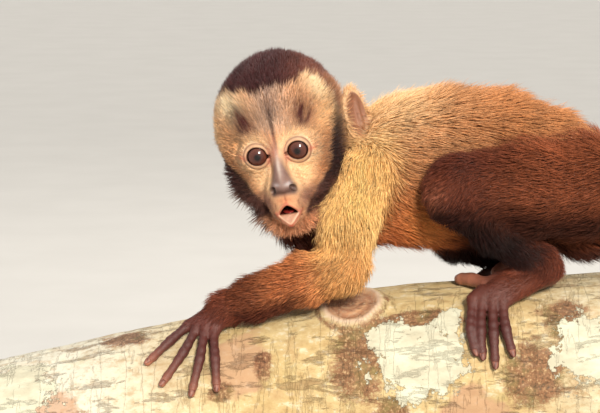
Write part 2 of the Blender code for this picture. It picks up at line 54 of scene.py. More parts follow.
BRANCH_RADIUS = 60.0
BRANCH_AXIS = ((-222.0, 99.7), (-11.0, 143.4), (148.0, 156.1), (222.0, 162.0))
EYES_MIDDLE = (-42.0, -52.0, 293.6)
HEAD_YAW, HEAD_PITCH, HEAD_ROLL = -5.5, 6.0, -10.3
EYE_SPREAD = 11.9
EYE_RADIUS = 9.2
FINGER_RADII = (3.0, 2.45)  # at the root and at the tip
TOE_RADII = (3.1, 2.6)
BIG_TOE_GIRTH = 1.35  # against the other toes

JOINTS = {
    "left": {
        "shoulder": (0, -29, 283), "elbow": (-4, -42, 228), "wrist": (-72, -27, 200),
        "hip": (135, -24, 271), "knee": (63, -47, 272), "ankle": (111, -29, 226),
    },
    "right": {
        "shoulder": (0, 29, 283), "elbow": (-8, 46, 226), "wrist": (-52, 57, 176),
        "hip": (135, 24, 271), "knee": (68, 44, 234), "ankle": (115, 34, 225),
    },
}

# Places on the branch: x along it, degrees round it from the top towards -Y, and height over the bark.
FINGERS = {
    "left": {
        "thumb": ((-74, 4, 10), (-81, -10, 7), (-88, -22, 4)),
        "index": ((-84, 20, 11), (-93.5, 22, 8.6), (-104, 28.5, 6), (-117, 38.7, 3.2)),
        "middle": ((-80, 22, 11), (-88, 25, 8.8), (-96, 38.5, 5.8), (-108, 53.6, 3.2)),
        "ring": ((-77, 23.5, 11), (-83.4, 27.5, 8.7), (-86.5, 45, 5.8), (-91, 62.5, 3.2)),
        "little": ((-73, 25, 10), (-78.5, 29.5, 7.6), (-77.6, 46.5, 5.4), (-76.6, 62.5, 3.1)),
    },
    "right": {
        "thumb": ((-61, -53, 10), (-70, -49, 7), (-79, -50, 4)),
        "index": ((-61, -65, 11), (-67, -71, 8.4), (-76, -84, 5.6), (-82, -99, 3.2)),
        "middle": ((-57, -67, 11), (-62, -73, 8.4), (-68, -90, 5.6), (-70, -108, 3.2)),
        "ring": ((-53, -68, 11), (-56, -74, 8.4), (-58, -92, 5.6), (-58, -109, 3.2)),
        "little": ((-49, -67, 10), (-49, -73, 7.6), (-48, -87, 5.4), (-47, -101, 3.1)),
    },
}
TOES = {
    "left": {
        "big": ((84, 23, 10), (79, 21.5, 8.5), (71.5, 14, 7.4), (64.5, 7, 5.4)),
        "second": ((76, 29, 11), (71, 33, 8.4), (68.4, 49, 5.6), (71, 62, 3.6)),
        "third": ((81, 30, 11), (76.2, 34, 8.4), (74.2, 51, 5.7), (75, 64.5, 3.6)),
        "fourth": ((86, 31, 11), (81.9, 35, 8.4), (81.5, 53, 5.7), (82, 69.5, 3.6)),
        "fifth": ((91, 32, 10), (87.7, 36, 7.8), (88.7, 51, 5.4), (92, 64, 3.5)),
    },
    "right": {
        "big": ((101, -20, 10), (96, -17, 8), (91, -10, 6.4), (87, -3, 4.6)),
        "second": ((84, -36, 11), (78, -40, 8.4), (75, -55, 5.6), (76, -66, 3.6)),
        "third": ((88, -37, 11), (83.5, -41, 8.4), (82, -58, 5.7), (82, -71, 3.6)),
        "fourth": ((93, -38, 11), (89.5, -42, 8.4), (89.5, -59, 5.7), (89.5, -74, 3.6)),
        "fifth": ((98, -39, 10), (96, -43, 7.8), (96.6, -58, 5.4), (98, -69, 3.5)),
    },
}
HEELS = {"left": (115, 22, 14), "right": (119, -31, 11)}

# ---- small maths -----------------------------------------------------------------------------


def v3(*place):
    return np.array(place[0] if len(place) == 1 else place, np.float64)


def between(a, b, share):
    return a + (b - a) * share


def bell(value, centre, width):
    return np.exp(-(((value - centre) / width) ** 2))


def smooth(low, high, value):
    """0 at low and 1 at high, easing in and out."""
    share = np.clip((value - low) / (high - low), 0, 1)
    return share * share * (3 - 2 * share)


def length_of(vectors):
    return np.sqrt((vectors * vectors).sum(1))


def unit(vectors):
    return vectors / np.maximum(length_of(vectors), 1e-9)[:, None]


# ---- places ----------------------------------------------------------------------------------


def head_turn():
    """Head axes as columns: X to the animal's left, Y backwards, Z up."""
    turn = Matrix.Rotation(math.radians(HEAD_YAW), 3, "Z")
    turn = turn @ Matrix.Rotation(math.radians(HEAD_PITCH), 3, "X")
    return np.array(turn @ Matrix.Rotation(math.radians(HEAD_ROLL), 3, "Y"))


HEAD = head_turn()
UPRIGHT = np.eye(3)


def sway(up):
    """How far the muzzle of the calling mouth leans to the animal's left."""
    return 0.05 * np.maximum(-2.0 - up, 0)


def in_head(side, back, up):
    return v3(EYES_MIDDLE) + HEAD @ v3(side + sway(up), back, up)


def to_head(points):
    local = (points - v3(EYES_MIDDLE)) @ HEAD
    local[:, 0] -= sway(local[:, 2])
    return local


def branch_height(x):
    xs = [place[0] for place in BRANCH_AXIS]
    zs = [place[1] for place in BRANCH_AXIS]
    return np.interp(x, xs, zs)


def on_branch(x, degrees, height):
    angle = math.radians(degrees)
    reach = BRANCH_RADIUS + height
    return v3(x, -reach * math.sin(angle), branch_height(x) + reach * math.cos(angle))


def smooth_route(places, steps):
    """Points on a Catmull-Rom curve through the places."""
    ends = [2 * places[0] - places[1], *places, 2 * places[-1] - places[-2]]
    route = []
    for a, b, c, d in zip(ends, ends[1:], ends[2:], ends[3:]):
        for step in range(steps):
            t = step / steps
            bend = (2 * a - 5 * b + 4 * c - d) * t ** 2 + (3 * b - 3 * c + d - a) * t ** 3
            route.append(0.5 * (2 * b + (c - a) * t + bend))
    return [*route, places[-1]]


def tail_route():
    places = [v3(158, 4, 264), v3(176, 8, 258), v3(192, 16, 243), v3(202, 29, 227)]
    first, last, steps = -40, -246, 11
    for step in range(steps):
        share = step / (steps - 1)
        x = 206 - 26 * math.sin(share * math.pi / 2)
        places.append(on_branch(x, first + (last - first) * share, 14.0 - 4.6 * share))
    return smooth_route(places, 2)


# ---- distance functions ----------------------------------------------------------------------


def along_rod(points, start, end):
    """How far along the rod each point is, from 0 to 1."""
    run = end - start
    return np.clip((points - start) @ run / (run @ run), 0, 1)


def cone_distance(points, start, end, start_radius, end_radius):
    along = along_rod(points, start, end)
    off = points - start - along[:, None] * (end - start)
    return length_of(off) - between(start_radius, end_radius, along)


def ball_distance(points, centre, radii, turn):
    local = (points - centre) @ turn
    whole = length_of(local / radii)
    steep = length_of(local / (radii * radii))
    return whole * (whole - 1.0) / np.maximum(steep, 1e-9)


def soft_min(a, b, reach):
    share = np.clip(0.5 + 0.5 * (b - a) / reach, 0, 1)
    return b + (a - b) * share - reach * share * (1 - share)


def soft_max(a, b, reach):
    return -soft_min(-a, -b, reach)


# ---- colours, as display values of red, green and blue ---------------------------------------

GOLD = (250, 209, 140)
STRAW = (180, 130, 90)
HONEY = (222, 170, 110)
FAWN = (174, 120, 79)
TAN = (134, 82, 59)
RUSSET = (207, 132, 84)
UMBER = (139, 78, 51)
BROWN = (112, 60, 44)
CHOCOLATE = (76, 36, 28)
SABLE = (34, 15, 14)
PALM = (90, 43, 38)
FINGERTIP = (196, 126, 98)
TOETIP = (116, 62, 52)
CREAM = (238, 206, 160)


def linear(colour):
    """Light values of a display colour."""
    share = v3(colour) / 255
    return np.where(share < 0.04045, share / 12.92, ((share + 0.055) / 1.055) ** 2.4)


class Mass:
    """A soft mass of the body, a tapered rod or an ellipsoid. It melts into what came before it."""

    def __init__(self, melt, start, end=None, radii=(1, 1), turn=UPRIGHT, hair=(2, 2), tint=(BROWN, BROWN)):
        self.melt = melt
        self.start = v3(start)
        self.end = None if end is None else v3(end)
        self.radii = v3(radii)
        self.turn = turn
        self.hair = hair
        self.tint = [linear(colour) for colour in tint]
        grow = self.radii.max()
        ends = [self.start] if end is None else [self.start, self.end]
        self.low = np.min(ends, axis=0) - grow
        self.high = np.max(ends, axis=0) + grow

    def distance(self, points):
        if self.end is None:
            return ball_distance(points, self.start, self.radii, self.turn)
        return cone_distance(points, self.start, self.end, self.radii[0], self.radii[1])

    def share(self, points):
        """How far along the rod, from 0 to 1."""
        return np.zeros(len(points)) if self.end is None else along_rod(points, self.start, self.end)


class Part:
    """A stretch of the body: its masses, and how its coat lies. Far off, its distance is a lower bound."""

    def __init__(self, name, kind, masses, join, lie=None):
        self.name = name
        self.kind = kind
        self.masses = masses
        self.join = join
        self.lie = lie
        self.near = join + 4 if join else 14
        self.low = np.min([mass.low for mass in masses], axis=0)
        self.high = np.max([mass.high for mass in masses], axis=0)

    def distance(self, points):
        outside = np.maximum(np.maximum(self.low - points, points - self.high), 0)
        far = length_of(outside)
        result = far + self.near * 0.4
        near = far < self.near
        if near.any():
            inside = points[near]
            found = self.masses[0].distance(inside)
            for mass in self.masses[1:]:
                found = soft_min(found, mass.distance(inside), mass.melt)
            result[near] = found
        return result

    def clear_of(self, points):
        """True where the whole cloud of points is out of this part's reach."""
        gap = np.maximum(self.low - points.max(0), points.min(0) - self.high).max()
        return gap > self.near


def chain(melt, stations):
    """Tapered rods through (place, radius, hair, tint) stations."""
    return [
        Mass(melt, a[0], b[0], (a[1], b[1]), hair=(a[2], b[2]), tint=(a[3], b[3]))
        for a, b in zip(stations, stations[1:])
    ]


def ball(melt, centre, radii, hair, tint=BROWN, turn=UPRIGHT):
    """An ellipsoid with one length of hair and one tint."""
    return Mass(melt, centre, radii=radii, turn=turn, hair=(hair, hair), tint=(tint, tint))


def head_ball(melt, centre, radii, hair):
    """An ellipsoid placed and turned with the head."""
    return ball(melt, in_head(*centre), radii, hair, turn=HEAD)


# ---- body parts: radii are the coat's, less its depth ----------------------------------------


def lie_along(*direction):
    """A coat that lies the same way all over."""
    return lambda points: points * 0 + v3(direction)


def away_from(side, back, up):
    """A coat that lies away from a place before the face."""
    place = in_head(side, back, up)
    return lambda points: points - place


def trunk_part():
    sizes = (
        ((8, 0, 270), (24, 29, 32), 15, HONEY),
        ((34, 0, 278), (38, 33, 40), 16, STRAW),
        ((57, 0, 280), (38, 34, 41.5), 18, STRAW),
        ((84, 0, 281), (36, 34, 39.5), 19, FAWN),
        ((109, 0, 274), (34, 33, 37), 18, FAWN),
        ((138, 0, 258), (26, 29, 28), 15, UMBER),
    )
    return Part("trunk", "trunk", [ball(9, *size) for size in sizes], 0, lie_along(1, 0, -0.22))


def neck_part():
    stations = (
        (in_head(0, 54, -2), 21, 9, STRAW),
        ((-12, 0, 288), 26, 13, GOLD),
        ((8, 0, 282), 27, 14, GOLD),
    )
    throat = [ball(14, (-20, -2, 264), (17, 19, 17), 12, TAN), ball(14, (-26, 3, 248), (14, 16, 15), 14, TAN)]
    return Part("neck", "neck", chain(8, stations) + throat, 9, lie_along(1, 0, -0.75))


def skull_part():
    sizes = (
        (6, (0, 40, 14), (33.5, 39, 35), 8),
        (6, (0, 17, 14), (27.5, 16.5, 12.5), 3.8),
        (6, (0, 18, -6), (25.5, 16.5, 22), 3),
        (5, (0, 21, -32), (17.5, 16.5, 13), 8),
    )
    masses = [head_ball(*size) for size in sizes]
    for side in (-1, 1):
        masses.append(head_ball(6, (side * 16, 24, -10), (14.8, 16.5, 19), 6))
        masses.append(head_ball(6, (side * 23, 30, 9), (11, 17, 22), 7))
        brow = in_head(side * 13.5, 6.5, 12), in_head(side * 3.5, 4.2, 9)
        masses.append(Mass(4, *brow, (4.6, 3.4), hair=(2.4, 2)))
    return Part("skull", "skull", masses, 7, away_from(0, -22, -8))


def muzzle_part():
    """The muzzle, nose and lips."""
    sizes = (
        (3, (0, 3, -23), (13.2, 13.5, 14.5), 2.0),
        (3, (0, 1.5, -32), (11.4, 12.4, 9.2), 2.2),
        (3, (0, 8, -38.5), (12.4, 10.6, 8.4), 5.5),
        (1.6, (0, -9.8, -17.8), (3.4, 2.8, 3.0), 0.5),
    )
    masses = [head_ball(*size) for size in sizes]
    bridge = in_head(0, 4.4, 6), in_head(0, -6.4, -14.5)
    masses.append(Mass(3, *bridge, (3.2, 4.1), hair=(1.5, 0.5)))
    for side in (-1, 1):
        masses.append(head_ball(3, (side * 13, 9, -20), (9, 9.4, 10.4), 3))
        masses.append(head_ball(1.6, (side * 4.2, -7.4, -18.2), (3.0, 3.6, 2.7), 0.5))
    return Part("muzzle", "muzzle", masses + lips(), 6, away_from(0, -30, -14))


MOUTH_FRONT = -11.4  # how far the lips lie before the eyes
MOUTH_HALF = 5.7  # half width of the parted lips
MOUTH_FLOOR = -33.3
MOUTH_ARCH = 5.2  # height of the opening above its floor
LIP_TIP = -40.2
LIP_HAIR = 0.4


def upper_lip(side):
    """Height of the opening's arched upper edge."""
    return MOUTH_FLOOR + MOUTH_ARCH * (1 - np.minimum(np.abs(side) / MOUTH_HALF, 1) ** 1.5)


def lower_lip(side):
    """Height of the lower lip's pointed outer edge."""
    return LIP_TIP + 7.6 * (np.abs(side) / 7.4) ** 1.15


def lips():
    """The rounded lips of a calling mouth: thin and arched above, everted and pointed below."""
    above, below = [], []
    for step in range(-6, 7):
        share = step / 6
        curl = 0.05 * (MOUTH_HALF * share) ** 2
        rim = (MOUTH_HALF + 0.7) * share
        edge = 7.0 * share
        upper = in_head(rim, MOUTH_FRONT + 0.9 + curl, upper_lip(MOUTH_HALF * share) + 0.6)
        lower = in_head(edge, MOUTH_FRONT + 1.0 + curl, lower_lip(edge) + 1.3)
        above.append((upper, 0.95, LIP_HAIR, CREAM))
        below.append((lower, 1.75 - 0.5 * abs(share), LIP_HAIR, CREAM))
    shelf = head_ball(1.6, (0, MOUTH_FRONT + 3.4, -36.3), (5.4, 3.6, 3.2), LIP_HAIR)
    return [*chain(1.2, above), *chain(1.2, below), shelf]


EARS = {"left": (1, 43, 40, 7, 25), "right": (-1, 33.5, 49, 8, 8)}  # side, out, back, up, spread
EAR_LEAN = -5


def ear_frame(name):
    """Centre and axes of an ear: its own X is its thin way, out from the head."""
    side, out, back, up, spread = EARS[name]
    flare = Matrix.Rotation(math.radians(side * -spread), 3, "Z")
    flare = flare @ Matrix.Rotation(math.radians(side * EAR_LEAN), 3, "Y")
    return in_head(side * out, back, up), HEAD @ np.array(flare), side


def ear_part(name):
    centre, turn, side = ear_frame(name)
    masses = [Mass(2, centre, radii=(3.8, 11.4, 16.2), turn=turn, hair=(5.5, 5.5))]
    root = centre + turn @ v3(-side * 4, 0.5, -2)
    base = in_head(side * 27, 36, 7)
    masses.append(Mass(4, root, base, (6.5, 9), hair=(6, 7)))
    return Part("ear_" + name, "ear", masses, 3, lie=lambda points: points - base)


def ear_hollow(points, name):
    """The ear's cup, with a fold of cartilage left standing in it."""
    centre, turn, side = ear_frame(name)
    cup = ball_distance(points, centre + turn @ v3(side * 4.4, -1.6, 0.5), v3(4.6, 9.0, 13.4), turn)
    fold_start = centre + turn @ v3(side * 0.4, 3.2, 8.5)
    fold_end = centre + turn @ v3(side * 1.0, 2.6, -7)
    fold = cone_distance(points, fold_start, fold_end, 1.5, 1.9)
    return soft_max(cup, -fold, 1.2)


SHOULDERS = {"left": ((8, 4, -3), 16.5, 11, GOLD), "right": ((3, -3, -1), 17, 14, HONEY)}


def arm_parts(side):
    shoulder, elbow, wrist = (v3(JOINTS[side][name]) for name in ("shoulder", "elbow", "wrist"))
    offset, *rest = SHOULDERS[side]
    upper = (
        (shoulder + v3(offset), *rest),
        (between(shoulder, elbow, 0.55), 14.5, 13, GOLD),
        (elbow, 12, 11, HONEY),
    )
    fore = (
        (elbow, 12.4, 11, HONEY),
        (between(elbow, wrist, 0.3), 12.4, 11, RUSSET),
        (between(elbow, wrist, 0.75), 10.6, 11, UMBER),
        (wrist, 8.4, 9, BROWN),
    )
    digits = FINGERS[side]
    palm = []
    for name in ("index", "middle", "ring", "little"):
        palm += chain(2.4, ((wrist, 6.6, 9, BROWN), (on_branch(*digits[name][1]), 3.3, 6.5, BROWN)))
    palm += chain(3, ((wrist, 6.6, 6.5, BROWN), (on_branch(*digits["thumb"][0]), 4.6, 3, PALM)))
    parts = [
        Part("upper_arm_" + side, "arm", chain(6, upper), 9),
        Part("forearm_" + side, "arm", chain(4, fore), 6),
        Part("hand_" + side, "hand", palm, 5),
    ]
    return parts + digit_parts("hand_" + side, digits, FINGER_RADII)


KNEE_RADIUS = {"left": 18, "right": 15}


def leg_parts(side):
    hip, knee, ankle = (v3(JOINTS[side][name]) for name in ("hip", "knee", "ankle"))
    thigh = (
        (hip, 27, 15, UMBER),
        (between(hip, knee, 0.45), 24, 14, UMBER),
        (knee, KNEE_RADIUS[side], 11, BROWN),
    )
    shin = (
        (knee, KNEE_RADIUS[side] - 1, 11, BROWN),
        (between(knee, ankle, 0.4), 14.5, 12, SABLE),
        (ankle, 9.4, 7, CHOCOLATE),
    )
    toes = TOES[side]
    heel = on_branch(*HEELS[side])
    sole = chain(3, ((ankle, 8.6, 6, BROWN), (heel, 7.2, 4, PALM)))
    for name in ("second", "third", "fourth", "fifth"):
        root = (on_branch(*toes[name][1]), 3.3, 4, BROWN)
        sole += chain(2.2, ((ankle, 8.0, 7, BROWN), root))
        sole += chain(2.2, ((heel, 6.6, 5, BROWN), root))
    instep = (between(ankle, heel, 0.5), 7.8, 5, BROWN)
    sole += chain(3, (instep, (on_branch(*toes["big"][0]), 5.0, 2.6, PALM)))
    parts = [
        Part("thigh_" + side, "leg", chain(8, thigh), 9),
        Part("shin_" + side, "leg", chain(5, shin), 6),
        Part("foot_" + side, "hand", sole, 5),
    ]
    return parts + digit_parts("foot_" + side, toes, TOE_RADII)


def digit_parts(limb, digits, radii):
    """Each digit bulges at its joints and ends in a rounded pad."""
    parts = []
    for name, places in digits.items():
        big = name == "big"
        tip = FINGERTIP if big or limb.startswith("hand") else TOETIP
        girth = BIG_TOE_GIRTH if big else 1
        route = digit_route(places)
        last = len(route) - 1
        stations = []
        for index, place in enumerate(route):
            share = index / last
            swell = 0.26 * math.cos(2 * math.pi * share * (len(places) - 1)) - 0.1
            radius = girth * between(*radii, share) + swell
            # the big toe takes the pale tip colour along most of its length: painted light on a toe that lies
            # in shade
            tint = between(v3(PALM), v3(tip), share ** (0.3 if big else 7))
            stations.append((place, radius * (0.78 if index == last else 1.0), 2.2 - 1.2 * share, tint))
        parts.append(Part(f"{limb}_{name}", "digit", chain(1.2, stations), 1.8))
    return parts


def digit_route(places):
    return smooth_route([on_branch(*place) for place in places], 4)


def tail_part():
    route = tail_route()
    last = len(route) - 1
    stations = []
    for index, place in enumerate(route):
        share = index / last
        tint = between(v3(UMBER), v3(SABLE), min(share * 1.6, 1))
        radius = (9.4 - 4.4 * share) * (0.7 if index == last else 1.0)
        stations.append((place, radius, 10 - 4.5 * share, tint))
    return Part("tail", "tail", chain(0.5, stations), 7)


def body_parts():
    parts = [trunk_part(), neck_part(), skull_part(), muzzle_part()]
    for side in ("left", "right"):
        parts += arm_parts(side) + leg_parts(side)
    parts.append(tail_part())
    parts += [ear_part(name) for name in EARS]
    return parts


PARTS = body_parts()
LID_THICK = 1.2
APERTURE = (5.7, 5.15)  # half width and half height between the lids
NOSTRIL = (6.3, -9.2, -19.0)
NOSTRIL_RADII = (3.0, 2.8, 1.8)
NOSTRIL_TURN = math.radians(35)
SKIN_TO_BARK = 0.4
HEAD_REACH = 75  # of what is carved, from between the eyes
EARS_BACK = 62  # back from the eyes, behind both ears


def nostril_middle(side):
    return v3(NOSTRIL) * v3(side, 1, 1)


def from_eye(local, side):
    """From the middle of an eyeball to each point."""
    return local - v3(side * EYE_SPREAD, EYE_RADIUS, 0)


def crease_depth(local):
    """Fine folds of the face's skin: rings below the eyes, and lines beside the nose and mouth."""
    side, up = np.abs(local[:, 0]), local[:, 2]
    ring = np.hypot(side - EYE_SPREAD, up)
    front = local[:, 1] < 20
    below = 0.5 - 0.5 * np.tanh((up + 1) / 3)
    depth = 0.30 * bell(ring, 7.9, 0.6) * (0.5 + 0.5 * below)
    depth += 0.18 * bell(ring, 9.9, 0.7) * below ** 2 * bell(side, 8, 8)
    cheek = side - (8.6 - 0.30 * (up + 20))
    depth += 0.4 * bell(cheek, 0, 0.9) * bell(up, -24, 6)
    depth += 0.35 * bell(side - 4.4 - 0.32 * np.clip(-6 - up, 0, 12), 0, 0.6) * bell(up, -11, 6)
    depth += 0.3 * bell(side, 0, 0.6) * bell(up, -24.2, 2.4)
    depth += 0.22 * bell(side, 0, 0.5) * smooth(-1, 4, up) * smooth(22, 14, up)
    return depth * front


def open_eye(found, local, side):
    """Cuts the opening between the lids, with its inner corner, down to the eyeball."""
    off = from_eye(local, side)
    radial = np.hypot(off[:, 0] / APERTURE[0], off[:, 2] / APERTURE[1])
    opening = np.maximum((radial - 1) * APERTURE[1], off[:, 1] + 2)
    corner = np.hypot((off[:, 0] + side * 5.6) / 2.2, (off[:, 2] + 0.9) / 1.1)
    opening = soft_min(opening, np.maximum(corner - 1, off[:, 1] + 4), 0.6)
    found = soft_max(found, -opening, 0.7)
    return np.maximum(found, -(length_of(off) - EYE_RADIUS - 0.12))


def open_nostril(found, local, side):
    turn = Matrix.Rotation(side * NOSTRIL_TURN, 3, "Z") @ Matrix.Rotation(side * NOSTRIL_TURN, 3, "Y")
    hole = ball_distance(local, nostril_middle(side), v3(NOSTRIL_RADII), np.array(turn))
    return soft_max(found, -hole, 0.6)


def open_mouth(found, local):
    """Cuts the arched opening between the lips, three millimetres past the eyes' depth."""
    side, back, up = local.T
    mouth = soft_max((up - upper_lip(side)) * 0.65, MOUTH_FLOOR - up, 1.0)
    return soft_max(found, -np.maximum(mouth, back - 3), 0.8)


def carve_face(points, distance):
    """Lids round the eyes, nostrils, the open mouth and the ears' cups."""
    local = to_head(points)
    face = (np.abs(local) < HEAD_REACH).all(1) & (local[:, 1] < EARS_BACK)
    if not face.any():
        return distance
    points, local, found = points[face], local[face], distance[face]
    for side in (-1, 1):
        lid = length_of(from_eye(local, side)) - EYE_RADIUS - LID_THICK
        found = soft_min(found, lid, 2.6)
    found += crease_depth(local)
    for side in (-1, 1):
        found = open_eye(found, local, side)
        found = open_nostril(found, local, side)
    found = open_mouth(found, local)
    for name in EARS:
        found = soft_max(found, -ear_hollow(points, name), 0.8)
    result = distance.copy()
    result[face] = found
    return result


def branch_distance(points):
    off = points[:, 2] - branch_height(points[:, 0])
    return np.hypot(points[:, 1], off * 0.985) - BRANCH_RADIUS


def body_distance(points):
    found = PARTS[0].distance(points)
    for part in PARTS[1:]:
        if not part.clear_of(points):
            found = soft_min(found, part.distance(points), part.join)
    found = carve_face(points, found)
    return soft_max(found, -(branch_distance(points) + SKIN_TO_BARK), 1.0)


def body_slope(points, step=0.25):
    """The distance, the outward direction and how fast the distance grows that way, from four samples."""
    slope, middle = 0, 0
    for corner in ((1, -1, -1), (-1, -1, 1), (-1, 1, -1), (1, 1, 1)):
        found = body_distance(points + v3(corner) * step)
        slope = slope + found[:, None] * v3(corner)
        middle = middle + found / 4
    length = length_of(slope)
    return middle, slope / np.maximum(length, 1e-9)[:, None], np.maximum(length / (4 * step), 0.3)


# ---- mesh helpers ----------------------------------------------------------------------------


def points_of(mesh):
    """The mesh's points, in millimetres."""
    flat = np.empty(len(mesh.vertices) * 3, np.float32)
    mesh.vertices.foreach_get("co", flat)
    return flat.reshape(-1, 3).astype(np.float64) / MM


def set_points(mesh, points):
    mesh.vertices.foreach_set("co", (points * MM).astype(np.float32).ravel())
    mesh.update()


def add_object(name, data):
    """A new object of the scene that holds the data."""
    made = bpy.data.objects.new(name, data)
    bpy.context.scene.collection.objects.link(made)
    return made


def paint(mesh, name, colours):
    """Stores a colour for each point of the mesh."""
    layer = mesh.color_attributes.new(name, "FLOAT_COLOR", "POINT")
    full = np.ones((len(colours), 4), np.float32)
    full[:, :3] = colours
    layer.data.foreach_set("color", full.ravel())


def store(mesh, name, values):
    """Stores a number for each point of the mesh."""
    mesh.attributes.new(name, "FLOAT", "POINT").data.foreach_set("value", values.astype(np.float32))


# ---- the skin's mesh -------------------------------------------------------------------------

VOXEL = 0.85
BLOCK = 6  # voxels along the side of a block of the grid
BAND = 3.0  # the farthest distance that the grid holds
HALF_DIAGONAL = 0.87  # of a block of side 1
MARGIN = 6  # round the body, to the grid's edge
BATCH = 20000  # points worked out at a time
BLOCK_BATCH = 600
LARGEST_STEP = 0.8  # that a point moves in one round of settling
COARSE_SHARE = 0.24  # of the faces that are left where the skin is coarse


def skin_grid():
    """The body's distance on a grid, worked out only in blocks near its surface."""
    low = np.min([part.low for part in PARTS], axis=0) - MARGIN
    high = np.max([part.high for part in PARTS], axis=0) + MARGIN
    wide = BLOCK * VOXEL
    blocks = np.ceil((high - low) / wide).astype(int)
    cells = [np.arange(count) for count in blocks]
    corner = np.stack(np.meshgrid(*cells, indexing="ij"), -1).reshape(-1, 3)
    middle = low + (corner + 0.5) * wide
    coarse = np.concatenate(
        [body_distance(middle[start:start + BATCH]) for start in range(0, len(middle), BATCH)]
    )
    values = np.full(blocks * BLOCK, BAND, np.float32)
    whole = values.reshape(blocks[0], BLOCK, blocks[1], BLOCK, blocks[2], BLOCK)
    inside = coarse < 0
    whole[corner[inside, 0], :, corner[inside, 1], :, corner[inside, 2], :] = -BAND
    near = corner[np.abs(coarse) < wide * HALF_DIAGONAL + 2.0]
    steps = np.stack(np.meshgrid(*[np.arange(BLOCK)] * 3, indexing="ij"), -1).reshape(-1, 3)
    for start in range(0, len(near), BLOCK_BATCH):
        batch = near[start:start + BLOCK_BATCH]
        index = (batch[:, None, :] * BLOCK + steps[None]).reshape(-1, 3)
        found = body_distance(low + index * VOXEL)
        values[index[:, 0], index[:, 1], index[:, 2]] = np.clip(found, -BAND, BAND)
    return low, values


def settle(points, rounds=2):
    """Moves points onto the body's surface; also returns the outward directions."""
    order = np.argsort(points[:, 0])
    moved = points[order].copy()
    normals = np.empty_like(moved)
    for start in range(0, len(moved), BATCH):
        batch = moved[start:start + BATCH]
        for _ in range(rounds):
            found, away, steep = body_slope(batch)
            batch = batch - away * np.clip(found / steep, -LARGEST_STEP, LARGEST_STEP)[:, None]
        moved[start:start + BATCH] = batch
        normals[start:start + BATCH] = away
    result, directions = np.empty_like(points), np.empty_like(points)
    result[order] = moved
    directions[order] = normals
    return result, directions


def coarse_area(points):
    """True where the coat is long and the skin can be coarse, so not on the face, ears, hands and feet."""
    local = to_head(points)
    face = (local[:, 1] < 24) & (np.abs(local[:, 0]) < 32) & (np.abs(local[:, 2]) < 52)
    ear = (np.abs(local[:, 0]) > 30) & (local[:, 1] < EARS_BACK) & (local[:, 2] > -8) & (local[:, 2] < 40)
    grip = (branch_distance(points) < 17) & (points[:, 1] < 62) & (points[:, 0] < 125)
    return ~(face | ear | grip)


def fine_area(points):
    """True round the eyes, nose and mouth."""
    local = to_head(points)
    up = local[:, 2]
    return (local[:, 1] < 14) & (np.abs(local[:, 0]) < 23) & (up < 11) & (up > -47)


def skin_mesh():
    """The body's skin as one mesh, fine where it shows and coarse under the coat."""
    low, values = skin_grid()
    grid = openvdb.FloatGrid(BAND)
    grid.copyFromArray(values)
    points, _, quads = grid.convertToPolygons(isovalue=0.0, adaptivity=0.0)
    points = low + np.asarray(points, np.float64) * VOXEL
    mesh = bpy.data.meshes.new("body_skin")
    mesh.from_pydata((points * MM).tolist(), [], np.asarray(quads).tolist())
    body = add_object("body_skin", mesh)
    coarse = coarse_area(points)
    body.vertex_groups.new(name="coarse").add(np.flatnonzero(coarse).tolist(), 1.0, "REPLACE")
    fewer = body.modifiers.new("Fewer", "DECIMATE")
    fewer.ratio = 1 - coarse.mean() * (1 - COARSE_SHARE)
    fewer.vertex_group = "coarse"
    fewer.use_collapse_triangulate = True
    graph = bpy.context.evaluated_depsgraph_get()
    finished = bpy.data.meshes.new_from_object(body.evaluated_get(graph))
    body.modifiers.clear()
    body.vertex_groups.clear()
    body.data = finished
    bpy.data.meshes.remove(mesh)
    bm = bmesh.new()
    bm.from_mesh(finished)
    fine = fine_area(points_of(finished))
    edges = [edge for edge in bm.edges if fine[edge.verts[0].index] and fine[edge.verts[1].index]]
    bmesh.ops.subdivide_edges(bm, edges=edges, cuts=1, use_grid_fill=True)
    bmesh.ops.triangulate(bm, faces=bm.faces)
    bm.to_mesh(finished)
    bm.free()
    finished.name = "body_skin"
    points, normals = settle(points_of(finished))
    set_points(finished, points)
    finished.shade_smooth()
    return body, points, normals


# ---- small noise, in numpy -------------------------------------------------------------------


def lattice(cells, seed):
    """A repeatable value from 0 to 1 for each whole-number place."""
    mixed = cells[:, 0] * 73856093 ^ cells[:, 1] * 19349663 ^ cells[:, 2] * 83492791 ^ seed * 2654435761
    mixed = (mixed ^ (mixed >> 13)) * 1274126177 & 0x7FFFFFFF
    return ((mixed ^ (mixed >> 16)) & 0xFFFF) / 65535.0


def ripple(points, size, seed):
    """Smooth noise from -1 to 1 with features about size millimetres across."""
    scaled = points / size
    cell = np.floor(scaled).astype(np.int64)
    part = scaled - cell
    part = part * part * (3 - 2 * part)
    total = 0
    for corner in range(8):
        step = np.array([corner >> 2 & 1, corner >> 1 & 1, corner & 1])
        share = np.where(step, part, 1 - part).prod(1)
        total = total + share * lattice(cell + step, seed)
    return total * 2 - 1


def rough(points, size, seed, octaves):
    """Ripples of several sizes added up."""
    total = 0
    for octave in range(octaves):
        total = total + ripple(points, size / 2 ** octave, seed + octave) / 2 ** octave
    return total


# ---- markings --------------------------------------------------------------------------------

KINDS = {
    # tufts for each square millimetre, their width, and how far they lift off the skin in degrees
    "trunk": (2.0, 0.54, 25),
    "neck": (2.0, 0.50, 28),
    "skull": (4.6, 0.34, 24),
    "muzzle": (4.6, 0.25, 24),
    "ear": (1.8, 0.30, 34),
    "arm": (2.2, 0.44, 27),
    "hand": (3.4, 0.26, 28),
    "leg": (1.9, 0.50, 25),
    "digit": (1.3, 0.26, 10),
    "tail": (1.4, 0.60, 20),
}
KIND_NAMES = list(KINDS)


def by_kind(shares):
    return {name: shares[:, index] for index, name in enumerate(KIND_NAMES)}


